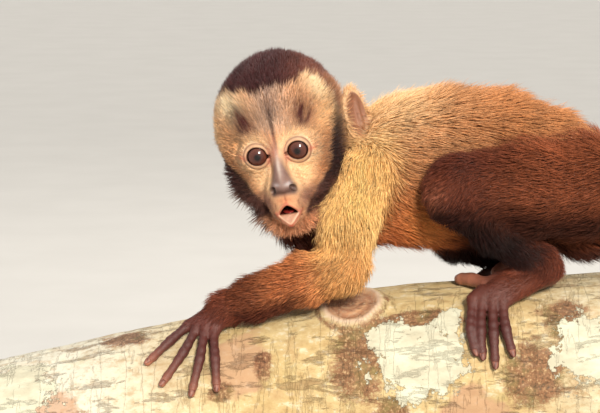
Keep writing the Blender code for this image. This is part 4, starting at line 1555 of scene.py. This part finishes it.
def coat_material():
    """Fur: the markings with streaks of tone from tuft to tuft, and a soft sheen."""
    settings = {"Roughness": 0.6, "Specular_IOR_Level": 0.1, "Sheen_Weight": 0.03, "Sheen_Roughness": 0.4}
    material, tree, shader = principled("coat", **settings)
    streak = remap(tree, noise_of(tree, 900, 2.0), 0.3, 0.7, 0.84, 1.16)
    tree.links.new(markings_times(tree, streak), shader.inputs["Base Color"])
    return material


def skin_material():
    """Skin: the markings, finely creased and a little shiny where it is naked, matt under the coat."""
    settings = {"Specular_IOR_Level": 0.4, "Subsurface_Weight": 0.06, "Subsurface_Scale": 0.002}
    material, tree, shader = principled("skin", **settings)
    naked = attribute(tree, "naked")
    blotch = remap(tree, noise_of(tree, 420, 5.0), 0.3, 0.7, 0.86, 1.12)
    tree.links.new(markings_times(tree, blotch), shader.inputs["Base Color"])
    cells = {"Vector": coordinates(tree), "Scale": 1500.0}
    pores = node(tree, "TexVoronoi", cells, feature="DISTANCE_TO_EDGE")
    lines = remap(tree, pores.outputs["Distance"], 0.0, 0.25)
    height = plus(tree, noise_of(tree, 1100, 3.0), lines, 0.5)
    bump(tree, shader, height, 0.35, 0.0004)
    tree.links.new(remap(tree, naked, 0, 1, 0.8, 0.46), shader.inputs["Roughness"])
    return material


def eye_material():
    """A wet brown eye: small pupil, fibrous iris, dark limbus and a trace of the white."""
    settings = {"Roughness": 0.3, "Coat_Weight": 0.8, "Coat_Roughness": 0.03, "Specular_IOR_Level": 0.1}
    material, tree, shader = principled("eye", **settings)
    reach = attribute(tree, "reach")
    polar = {"X": attribute(tree, "turn"), "Y": arithmetic(tree, "MULTIPLY", reach, 0.35)}
    across = node(tree, "CombineXYZ", polar).outputs[0]
    values = {"Vector": across, "Scale": 7.0, "Detail": 5.0, "Roughness": 0.6}
    fibres = node(tree, "TexNoise", values).outputs["Fac"]
    iris = two_tone(tree, fibres, 0.35, 0.65, (66, 32, 24), (98, 54, 40))
    rim = blend_colour(tree, remap(tree, reach, 1.9, 4.2), rgba(64, 30, 24), iris)
    pupil = blend_colour(tree, remap(tree, reach, 1.3, 2.4), rgba(14, 6, 5), rim)
    limbus = tinge(tree, pupil, reach, 4.7, 5.3, 1, (30, 13, 11))
    white = tinge(tree, limbus, reach, 5.9, 6.5, 1, (196, 150, 126))
    tree.links.new(white, shader.inputs["Base Color"])
    bump(tree, shader, fibres, 0.05, 0.0001)
    return material


def nail_material():
    """Horn: pinkish amber with lengthwise streaks."""
    material, tree, shader = principled("nail", Roughness=0.5, Specular_IOR_Level=0.35)
    streak = remap(tree, noise_of(tree, 700, 3.0, stretch=(1, 1, 0.3)), 0.35, 0.65)
    colour = blend_colour(tree, streak, rgba(92, 52, 44), rgba(142, 92, 76))
    tree.links.new(colour, shader.inputs["Base Color"])
    bump(tree, shader, streak, 0.15, 0.0002)
    return material


def mouth_material():
    material, tree, shader = principled("tongue", Roughness=0.3, Coat_Weight=0.5, Coat_Roughness=0.1)
    wet = remap(tree, noise_of(tree, 500, 3.0), 0.35, 0.65)
    colour = blend_colour(tree, wet, rgba(96, 22, 20), rgba(130, 40, 34))
    tree.links.new(colour, shader.inputs["Base Color"])
    bump(tree, shader, wet, 0.3, 0.0004)
    return material


def wood_rings(tree, waviness):
    """Growth rings, from the stored distance to the pith, wavy and uneven."""
    phase = plus(tree, attribute(tree, "pith"), noise_of(tree, 70, 3.0), waviness)
    band = arithmetic(tree, "SINE", arithmetic(tree, "MULTIPLY", phase, 1.4), 0.0)
    return remap(tree, band, -0.7, 0.9)


def bare_bark(tree, fine, broad, speckle):
    """Pale bark with chalky and brown mottling, brown blushes, a breath of moss and faint hoops."""
    mottle = noise_of(tree, 210, 6.0, 0.68, stretch=(0.7, 1, 1))
    colour = two_tone(tree, broad, 0.35, 0.65, (178, 154, 108), (192, 172, 128))
    colour = blend_colour(tree, attribute(tree, "pale"), colour, rgba(200, 200, 188))
    for value, low, high, most, over_it in (
        (mottle, 0.50, 0.66, 0.55, (150, 118, 74)),
        (mottle, 0.46, 0.34, 0.6, (208, 200, 176)),
        (fine, 0.54, 0.72, 0.6, (166, 134, 98)),
        (speckle, 0.55, 0.75, 0.35, (150, 120, 84)),
    ):
        colour = tinge(tree, colour, value, low, high, most, over_it)
    blush = arithmetic(tree, "ADD", attribute(tree, "blush"), about_half(tree, fine))
    colour = tinge(tree, colour, remap(tree, blush, 0.45, 0.6), 0, 1, 0.75, (170, 132, 104))
    moss = noise_of(tree, 33, 5.0, 0.6, stretch=(1.3, 1, 1))
    return tinge(tree, colour, moss, 0.57, 0.68, 0.4, (156, 142, 92))


def earthy(tree, colour, fine, speckle):
    """Speckled stains of earth and moss over the bark, and painted shade in the crease round the knot's
    collar, where the mark for both says.
    """
    patch = arithmetic(tree, "SUBTRACT", arithmetic(tree, "MULTIPLY", fine, 1.3), 0.65)
    # stains, and painted shade round the knot's collar
    spots = arithmetic(tree, "ADD", attribute(tree, "stain_and_shade"), patch)
    spots = plus(tree, spots, about_half(tree, speckle), 0.9)
    earth = two_tone(tree, speckle, 0.36, 0.5, (56, 34, 25), (118, 76, 52))
    earth = tinge(tree, earth, noise_of(tree, 60, 3.0), 0.5, 0.66, 0.7, (108, 100, 56))
    earth = tinge(tree, earth, speckle, 0.55, 0.63, 1, (170, 140, 104))
    return blend_colour(tree, remap(tree, spots, 0.40, 0.62, 0, 0.85), colour, earth)


def knot_scar(tree, fine, speckle):
    """The ringed and weathered wood in the knot."""
    scar = blend_colour(tree, wood_rings(tree, 9.0), rgba(158, 114, 84), rgba(186, 142, 106))
    scar = tinge(tree, scar, fine, 0.4, 0.6, 0.6, (146, 104, 82))
    return tinge(tree, scar, speckle, 0.5, 0.62, 0.5, (176, 152, 126))


def bark_material():
    """Smooth bark: fine cracks, speckled stains, chalky crusts, a grown-over knot and the sawn ends."""
    material, tree, shader = principled("bark", Specular_IOR_Level=0.25)
    fine = noise_of(tree, 95, 6.0, 0.62, stretch=(0.55, 1, 1))
    broad = noise_of(tree, 26, 4.0, 0.55, stretch=(0.8, 1, 1))
    speckle = noise_of(tree, 520, 5.0, 0.7)
    colour = bare_bark(tree, fine, broad, speckle)
    hoops = about_half(tree, noise_of(tree, 75, 6.0, 0.6, stretch=(1, 0.16, 0.16)))
    hoop = remap(tree, arithmetic(tree, "ABSOLUTE", hoops, 0.0), 0.0, 0.012)
    colour = blend_colour(tree, remap(tree, hoop, 0, 1, 0.14, 0), colour, rgba(120, 88, 58))
    colour = earthy(tree, colour, fine, speckle)
    cracks = remap(tree, noise_of(tree, 120, 7.0, 0.7, stretch=(0.25, 1, 1)), 0.38, 0.45)
    colour = blend_colour(tree, remap(tree, cracks, 0, 1, 0.4, 0), colour, rgba(104, 72, 50))
    flakes = about_half(tree, noise_of(tree, 110, 8.0, 0.7))
    crust = remap(tree, plus(tree, attribute(tree, "crust"), flakes, 1.7), 0.52, 0.56)
    chalk = two_tone(tree, fine, 0.4, 0.62, (196, 194, 172), (178, 172, 150))
    colour = blend_colour(tree, crust, colour, chalk)
    colour = blend_colour(tree, attribute(tree, "scar"), colour, knot_scar(tree, fine, speckle))
    # pale rim of the knot's collar: pale bark with a painted highlight on the raised edge
    colour = blend_colour(tree, attribute(tree, "collar"), colour, rgba(208, 184, 160))
    cut = blend_colour(tree, wood_rings(tree, 2.6), rgba(150, 108, 70), rgba(180, 142, 98))
    cut = tinge(tree, cut, broad, 0.4, 0.65, 0.6, (140, 104, 70))
    colour = blend_colour(tree, attribute(tree, "cut"), colour, cut)
    tree.links.new(colour, shader.inputs["Base Color"])
    height = arithmetic(tree, "MULTIPLY", cracks, 0.8)
    for value, share in ((crust, 0.7), (fine, 1.2), (hoop, 0.35)):
        height = plus(tree, height, value, share)
    bump(tree, shader, height, 0.8, 0.0011)
    tree.links.new(remap(tree, fine, 0.3, 0.7, 0.72, 0.92), shader.inputs["Roughness"])
    return material


def stand_wood_material():
    """Dark stained and satin-varnished wood, its grain along the base."""
    settings = {"Coat_Weight": 0.35, "Coat_Roughness": 0.2, "Specular_IOR_Level": 0.4}
    material, tree, shader = principled("stand_wood", **settings)
    grain = noise_of(tree, 60, 8.0, 0.6, stretch=(0.08, 1, 1))
    pores = noise_of(tree, 320, 5.0, 0.7, stretch=(0.06, 1, 1))
    colour = two_tone(tree, grain, 0.35, 0.65, (70, 40, 24), (122, 76, 46))
    colour = tinge(tree, colour, pores, 0.52, 0.66, 0.6, (44, 25, 16))
    tree.links.new(colour, shader.inputs["Base Color"])
    tree.links.new(remap(tree, pores, 0.3, 0.7, 0.34, 0.5), shader.inputs["Roughness"])
    bump(tree, shader, pores, 0.25, 0.0003)
    return material


def stand_steel_material():
    """Steel rod brushed along its length."""
    material, tree, shader = principled("stand_steel", Metallic=1.0)
    brush = noise_of(tree, 900, 4.0, 0.6, stretch=(1, 1, 0.03))
    colour = blend_colour(tree, brush, rgba(150, 150, 152), rgba(205, 205, 206))
    tree.links.new(colour, shader.inputs["Base Color"])
    tree.links.new(remap(tree, brush, 0.3, 0.7, 0.22, 0.38), shader.inputs["Roughness"])
    bump(tree, shader, brush, 0.12, 0.0001)
    return material


def floor_material():
    material, tree, shader = principled("floor", Roughness=0.75, Specular_IOR_Level=0.2)
    colour = two_tone(tree, noise_of(tree, 9, 3.0), 0.3, 0.7, (180, 178, 174), (184, 182, 178))
    tree.links.new(colour, shader.inputs["Base Color"])
    return material


# ---- small pieces ----------------------------------------------------------------------------


def piece_from(name, points, faces, material):
    mesh = bpy.data.meshes.new(name)
    mesh.from_pydata((np.asarray(points) * MM).tolist(), [], [list(map(int, face)) for face in faces])
    mesh.update()
    mesh.shade_smooth()
    mesh.materials.append(material)
    piece = add_object(name, mesh)
    return piece


def ball_points(rings, sides):
    """Points of a ball of radius 1: a pole, rings of sides points each, and the other pole."""
    points = [(0, 0, 1)]
    for ring in range(1, rings + 1):
        angle = math.pi * ring / (rings + 1)
        for side in range(sides):
            turn = 2 * math.pi * side / sides
            out = math.sin(angle)
            points.append((out * math.cos(turn), out * math.sin(turn), math.cos(angle)))
    return np.array([*points, (0, 0, -1)])


def ball_faces(rings, sides):
    """Faces over the points of ball_points."""
    faces = [(0, 1 + (side + 1) % sides, 1 + side) for side in range(sides)]
    for ring in range(rings - 1):
        low, high = 1 + ring * sides, 1 + (ring + 1) * sides
        for side in range(sides):
            after = (side + 1) % sides
            faces.append((low + side, low + after, high + after, high + side))
    last = 1 + (rings - 1) * sides
    faces += [(last + side, last + (side + 1) % sides, 1 + rings * sides) for side in range(sides)]
    return faces


GAZE = {"left": (-2.0, -3.0), "right": (3.0, -3.0)}  # degrees towards the animal's left, and up
CORNEA = (39.0, 0.5)  # half its angle, and its rise in millimetres
EYE_NET = (48, 64)  # rings and sides
TONGUE_NET = (14, 24)


def eye_piece(name, material):
    """An eyeball with the low bulge of the cornea, turned to look at the viewer."""
    sign = 1 if name == "left" else -1
    points = ball_points(*EYE_NET)
    angles = np.degrees(np.arccos(points[:, 2]))
    rise = np.where(angles < CORNEA[0], CORNEA[1] * (1 - (angles / CORNEA[0]) ** 2) ** 2, 0)
    local = points * (EYE_RADIUS - 0.05 + rise)[:, None]
    left, up = GAZE[name]
    ahead = Matrix.Rotation(math.radians(left), 3, "Z") @ Matrix.Rotation(math.radians(90 - up), 3, "X")
    placed = in_head(sign * EYE_SPREAD, EYE_RADIUS, 0) + local @ (HEAD @ np.array(ahead)).T
    piece = piece_from("eyeball_" + name, placed, ball_faces(*EYE_NET), material)
    store(piece.data, "reach", np.where(angles < 90, np.hypot(local[:, 0], local[:, 1]), 10))
    store(piece.data, "turn", np.arctan2(local[:, 1], local[:, 0]))
    return piece


def tongue_piece():
    shape = ball_points(*TONGUE_NET) * v3(4.1, 6.0, 1.1)
    shape[:, 2] -= 0.5 * bell(shape[:, 0], 0, 1.2)
    placed = in_head(0, MOUTH_FRONT + 8.6, MOUTH_FLOOR + 0.6) + shape @ HEAD.T
    return piece_from("tongue", placed, ball_faces(*TONGUE_NET), mouth_material())


NAIL_LENGTH = 4.6
NAIL_ROOT = -2.2  # along the digit, from its end place
NAIL_THICK = 0.4
NAIL_WRAP = 46.0  # degrees round the digit, to each side
NAIL_NET = (8, 9)  # rows along and columns across


def nail_points(places, radius):
    """The outer and then the inner face of a nail, a curved plate on the back of the last joint."""
    route = digit_route(places)
    ahead = unit((route[-1] - route[-3])[None])[0]
    out = radial_from_branch(route[-1][None])[0]
    out = out - ahead * (out @ ahead)
    out /= np.linalg.norm(out)
    across = np.cross(ahead, out)
    rows, columns = NAIL_NET
    points = []
    for inset in (0.0, NAIL_THICK):
        for row in range(rows):
            share = row / (rows - 1)
            for column in range(columns):
                turn = 2 * column / (columns - 1) - 1
                along = NAIL_ROOT + (NAIL_LENGTH - 1.3 * turn * turn) * share
                angle = math.radians(NAIL_WRAP * turn * (1 - 0.35 * share * share))
                reach = (radius + 0.1 - inset) * (1 - 0.2 * share * share) - (0.2 if row == 0 else 0.0)
                bowed = out * math.cos(angle) + across * math.sin(angle)
                points.append(route[-1] + ahead * along + bowed * reach)
    return points


def nail_faces():
    rows, columns = NAIL_NET
    count = rows * columns
    faces = []
    for row in range(rows - 1):
        for column in range(columns - 1):
            a = row * columns + column
            b, c, d = a + 1, a + columns + 1, a + columns
            faces += [(a, b, c, d), (count + a, count + d, count + c, count + b)]
    border = list(range(columns))
    border += [row * columns + columns - 1 for row in range(1, rows)]
    border += [(rows - 1) * columns + column for column in range(columns - 2, -1, -1)]
    border += [row * columns for row in range(rows - 2, 0, -1)]
    faces += [(b, a, count + a, count + b) for a, b in zip(border, border[1:] + border[:1])]
    return faces


def nail_pieces():
    material = nail_material()
    pieces = []
    for limb, digits, radii in (("hand", FINGERS, FINGER_RADII), ("foot", TOES, TOE_RADII)):
        for side in ("left", "right"):
            points, faces = [], []
            for places in digits[side].values():
                faces += [tuple(corner + len(points) for corner in face) for face in nail_faces()]
                points += nail_points(places, radii[1])
            piece = piece_from(f"nails_{limb}_{side}", points, faces, material)
            bm = bmesh.new()
            bm.from_mesh(piece.data)
            bmesh.ops.recalc_face_normals(bm, faces=bm.faces)
            bm.to_mesh(piece.data)
            bm.free()
            pieces.append(piece)
    return pieces


# ---- the branch ------------------------------------------------------------------------------

KNOT_PLACE = (1.0, 21.0)  # x, and degrees from the top towards the viewer
KNOT_SIZE = (16.5, 17.5)  # half sizes in mm, along the branch and round it
BARK_STEP = 1.7  # mm between the bark's points
SAWN_LOOPS = 14  # loops of points across a sawn end
# Patches on the bark: x, degrees from the top towards the viewer, and their half sizes in mm and degrees.
CRUSTS = (
    (40, 64, 24, 20), (26, 52, 14, 12), (56, 42, 8, 8), (134, 64, 16, 18), (-196, 44, 22, 24),
    (96, 200, 30, 40), (-60, 180, 24, 30),
)
STAINS = (
    (2, 64, 13, 17), (8, 48, 14, 7), (36, 40, 24, 7), (24, 92, 8, 7), (-50, 55, 4.5, 8),
    (-75, 67, 7, 4.5), (-154, 76, 9, 12), (-130, 12, 14, 8), (104, 76, 14, 16), (122, 46, 10, 14),
    (-30, 150, 40, 40), (150, 160, 30, 50), (-140, 220, 40, 50), (40, 270, 50, 40),
)
BLUSHES = ((-64, 52, 15, 17), (-172, 60, 12, 14), (70, 96, 16, 12))


def around_from(degrees, angle):
    """The angle from one place round the branch to another, from -180 to 180."""
    return (degrees - angle + 180) % 360 - 180


def patch_share(x, degrees, patches):
    share = np.zeros(len(x))
    for middle, angle, half_length, half_turn in patches:
        reach = np.hypot((x - middle) / half_length, around_from(degrees, angle) / half_turn)
        share = np.maximum(share, np.clip(1.15 - 0.55 * reach, 0, 1))
    return share


def branch_rings():
    """The branch's rings: their places along it, the axis, its direction and the angles round it."""
    route = smooth_route([v3(x, 0, z) for x, z in BRANCH_AXIS], 60)
    gaps = [0.0, *np.cumsum([np.linalg.norm(b - a) for a, b in zip(route, route[1:])])]
    where = np.linspace(0, gaps[-1], int(gaps[-1] / BARK_STEP))
    axis = np.stack([np.interp(where, gaps, [place[index] for place in route]) for index in range(3)], 1)
    ahead = unit(np.gradient(axis, axis=0))
    sides = int(2 * math.pi * BRANCH_RADIUS / BARK_STEP)
    return where, axis, ahead, np.arange(sides) * 2 * math.pi / sides


def bark_relief(flat, degrees, near_end):
    """How far the bark stands out from the plain round branch, and the marks that its colours follow."""
    x = flat[:, 0]
    grain = flat * v3(0.28, 1, 1)
    height = 0.45 * rough(flat, 46, 61, 2) - 0.5 + 0.22 * rough(grain, 5, 67, 3)
    height -= 0.55 * bell(np.abs(ripple(grain, 7, 71)), 0, 0.10)
    crust = patch_share(x, degrees, CRUSTS)
    height += 0.35 * smooth(0.42, 0.58, crust + 0.35 * rough(flat, 9, 73, 3))
    round_knot = np.radians(around_from(degrees, KNOT_PLACE[1])) * BRANCH_RADIUS
    knot = np.hypot((x - KNOT_PLACE[0]) / KNOT_SIZE[0], round_knot / KNOT_SIZE[1])
    knot = knot * (1 + 0.06 * ripple(flat, 9, 79))
    scar = smooth(1.06, 0.94, knot)
    lip = 3.4 * smooth(1.5, 1.0, knot) - 2.2 * smooth(0.98, 0.72, knot) + 0.8 * bell(knot, 0.45, 0.25)
    split = bell(round_knot - 2 * np.sin(x / 3), 0, 0.7) * (knot < 0.6)
    weathered = 0.3 * scar * rough(flat * v3(0.5, 1, 1), 4, 85, 2)
    height = height * (1 - 0.6 * scar) + lip + weathered - 0.6 * split
    height -= 0.9 * smooth(2.0, 0.0, near_end)
    marks = {
        # real stains, and painted shade in the crease outside the knot's collar
        "stain_and_shade": np.maximum(patch_share(x, degrees, STAINS), 0.66 * bell(knot, 1.24, 0.15)),
        "blush": patch_share(x, degrees, BLUSHES),
        "crust": crust,
        "scar": scar,
        # the pale rim round the knot, partly a painted highlight
        "collar": 0.8 * bell(knot, 1.0, 0.09),
        "pale": 0.8 * smooth(-60, -170, x) + 0.3 * smooth(90, 140, x),
        "cut": np.zeros(len(x)),
        "pith": knot * KNOT_SIZE[1],
    }
    return height, {name: values.tolist() for name, values in marks.items()}


def add_sawn_end(points, faces, marks, rim, middle, outward):
    """Closes one end: loops of points from its rim to the middle, faintly marked by the saw."""
    sides = len(rim)
    edge = np.array(points)[rim]
    before = rim
    turn = 1 if outward[0] < 0 else -1
    for loop in range(1, SAWN_LOOPS + 1):
        share = 1 - loop / (SAWN_LOOPS + 1)
        here = len(points) + np.arange(sides)
        spread = middle + (edge - middle) * share
        saw = 0.25 * ripple(spread * v3(1, 1, 0.1), 3, 83)
        points += (spread + outward * saw[:, None]).tolist()
        for side in range(sides):
            after = (side + 1) % sides
            quad = (before[side], before[after], here[after], here[side])
            faces.append(quad[::turn])
        add_marks(marks, sides, BRANCH_RADIUS * share)
        before = here
    points.append(middle.tolist())
    add_marks(marks, 1, 0.0)
    for side in range(sides):
        spoke = (before[side], before[(side + 1) % sides], len(points) - 1)
        faces.append(spoke[::turn])


def add_marks(marks, count, reach):
    """A sawn end is bare wood, at a distance from the pith."""
    for name, values in marks.items():
        values.extend([{"cut": 1, "pith": reach}.get(name, 0)] * count)


def branch_piece():
    """The cut branch: rings of points along its axis, pushed in and out as bark, and closed by sawn ends."""
    where, axis, ahead, angle = branch_rings()
    rings, sides = len(where), len(angle)
    up = np.stack([-ahead[:, 2], ahead[:, 1], ahead[:, 0]], 1)
    out = up[:, None, :] * np.cos(angle)[None, :, None] + v3(0, -1, 0) * np.sin(angle)[None, :, None]
    flat = (axis[:, None, :] + out * BRANCH_RADIUS).reshape(-1, 3)
    near_end = np.minimum(where, where[-1] - where).repeat(sides)
    height, marks = bark_relief(flat, np.tile(np.degrees(angle), rings), near_end)
    points = (flat + out.reshape(-1, 3) * height[:, None]).tolist()
    faces = []
    for ring in range(rings - 1):
        low = ring * sides + np.arange(sides)
        after = ring * sides + (np.arange(sides) + 1) % sides
        faces += np.stack([low, low + sides, after + sides, after], 1).tolist()
    for ring, sign in ((0, -1), (rings - 1, 1)):
        rim = ring * sides + np.arange(sides)
        add_sawn_end(points, faces, marks, rim, axis[ring], sign * ahead[ring])
    piece = piece_from("branch", points, faces, bark_material())
    for name, values in marks.items():
        store(piece.data, name, np.array(values))
    return piece


# ---- studio ----------------------------------------------------------------------------------

AIM = (-29.0, -20.0, 259.0)  # the middle of the picture, in millimetres
LENS = 140
SENSOR = 36
PICTURE_WIDTH = 348.0  # at the animal, in millimetres
CAMERA_UP = 8.0  # degrees above level
RIM_LIGHT = (0.3, 1.3, 1.5)  # behind and above, in metres
MODEL_MIDDLE = (0, 0, 0.22)  # in metres


def add_camera():
    data = bpy.data.cameras.new("camera")
    data.lens = LENS
    data.sensor_width = SENSOR
    data.clip_end = 100
    camera = add_object("camera", data)
    tilt = math.radians(CAMERA_UP)
    back = Vector((0, -math.cos(tilt), math.sin(tilt))) * (LENS * PICTURE_WIDTH / SENSOR)
    camera.location = (Vector(AIM) + back) * MM
    camera.rotation_euler = (math.radians(90) - tilt, 0, 0)
    bpy.context.scene.camera = camera


def add_light(name, kind, watts, colour, direction, **settings):
    data = bpy.data.lights.new(name, kind)
    data.energy = watts
    data.color = colour
    for setting, value in settings.items():
        setattr(data, setting, value)
    lamp = add_object(name, data)
    lamp.rotation_euler = Vector(direction).to_track_quat("-Z", "Y").to_euler()
    return lamp


def add_studio():
    add_light("sun", "SUN", 5.0, (1.0, 0.93, 0.82), (-0.20, 0.90, -0.43), angle=math.radians(11))
    towards = Vector(MODEL_MIDDLE) - Vector(RIM_LIGHT)
    rim = add_light("rim", "AREA", 16, (1.0, 0.95, 0.88), towards, shape="DISK", size=0.8)
    rim.location = RIM_LIGHT
    world = bpy.data.worlds.new("studio")
    world.use_nodes = True
    background = next(item for item in world.node_tree.nodes if item.type == "BACKGROUND")
    background.inputs["Color"].default_value = (0.94, 0.93, 0.92, 1)
    background.inputs["Strength"].default_value = 0.8
    bpy.context.scene.world = world
    bpy.context.scene.view_settings.view_transform = "Standard"

    bm = bmesh.new()
    bmesh.ops.create_circle(bm, cap_ends=True, segments=96, radius=14)
    mesh = bpy.data.meshes.new("floor")
    bm.to_mesh(mesh)
    bm.free()
    mesh.materials.append(floor_material())
    add_object("floor", mesh)


# ---- putting it together ---------------------------------------------------------------------


def finish_cad_pieces():
    """The stand keeps its CAD shapes and gets its finishes."""
    finishes = {
        "stand_base": stand_wood_material(),
        "stand_rod_left": stand_steel_material(),
        "stand_rod_right": stand_steel_material(),
    }
    for name, material in finishes.items():
        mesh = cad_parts[name].data
        mesh.materials.clear()
        mesh.materials.append(material)


def make_body():
    body, points, normals = skin_mesh()
    look = describe(points, normals)
    naked = look["naked_look"][:, None]
    paint(body.data, "markings", look["tint"] * between(0.75, 0.6, naked))
    store(body.data, "naked", look["naked_look"])
    body.data.materials.clear()
    body.data.materials.append(skin_material())
    hard = ("eye_left", "eye_right", "perch_branch", "stand_base", "stand_rod_left", "stand_rod_right")
    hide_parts(*[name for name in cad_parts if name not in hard])
    coat = grow_coat(body, points, normals, look)
    return [body, *coat]


def main():
    add_camera()
    add_studio()
    pieces = make_body()
    material = eye_material()
    for name in ("left", "right"):
        eye = eye_piece(name, material)
        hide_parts("eye_" + name)
        pieces.append(eye)
    pieces.append(tongue_piece())
    pieces += nail_pieces()
    branch = branch_piece()
    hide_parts("perch_branch")
    pieces.append(branch)
    finish_cad_pieces()
    for piece in pieces:
        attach(piece, "root")


main()
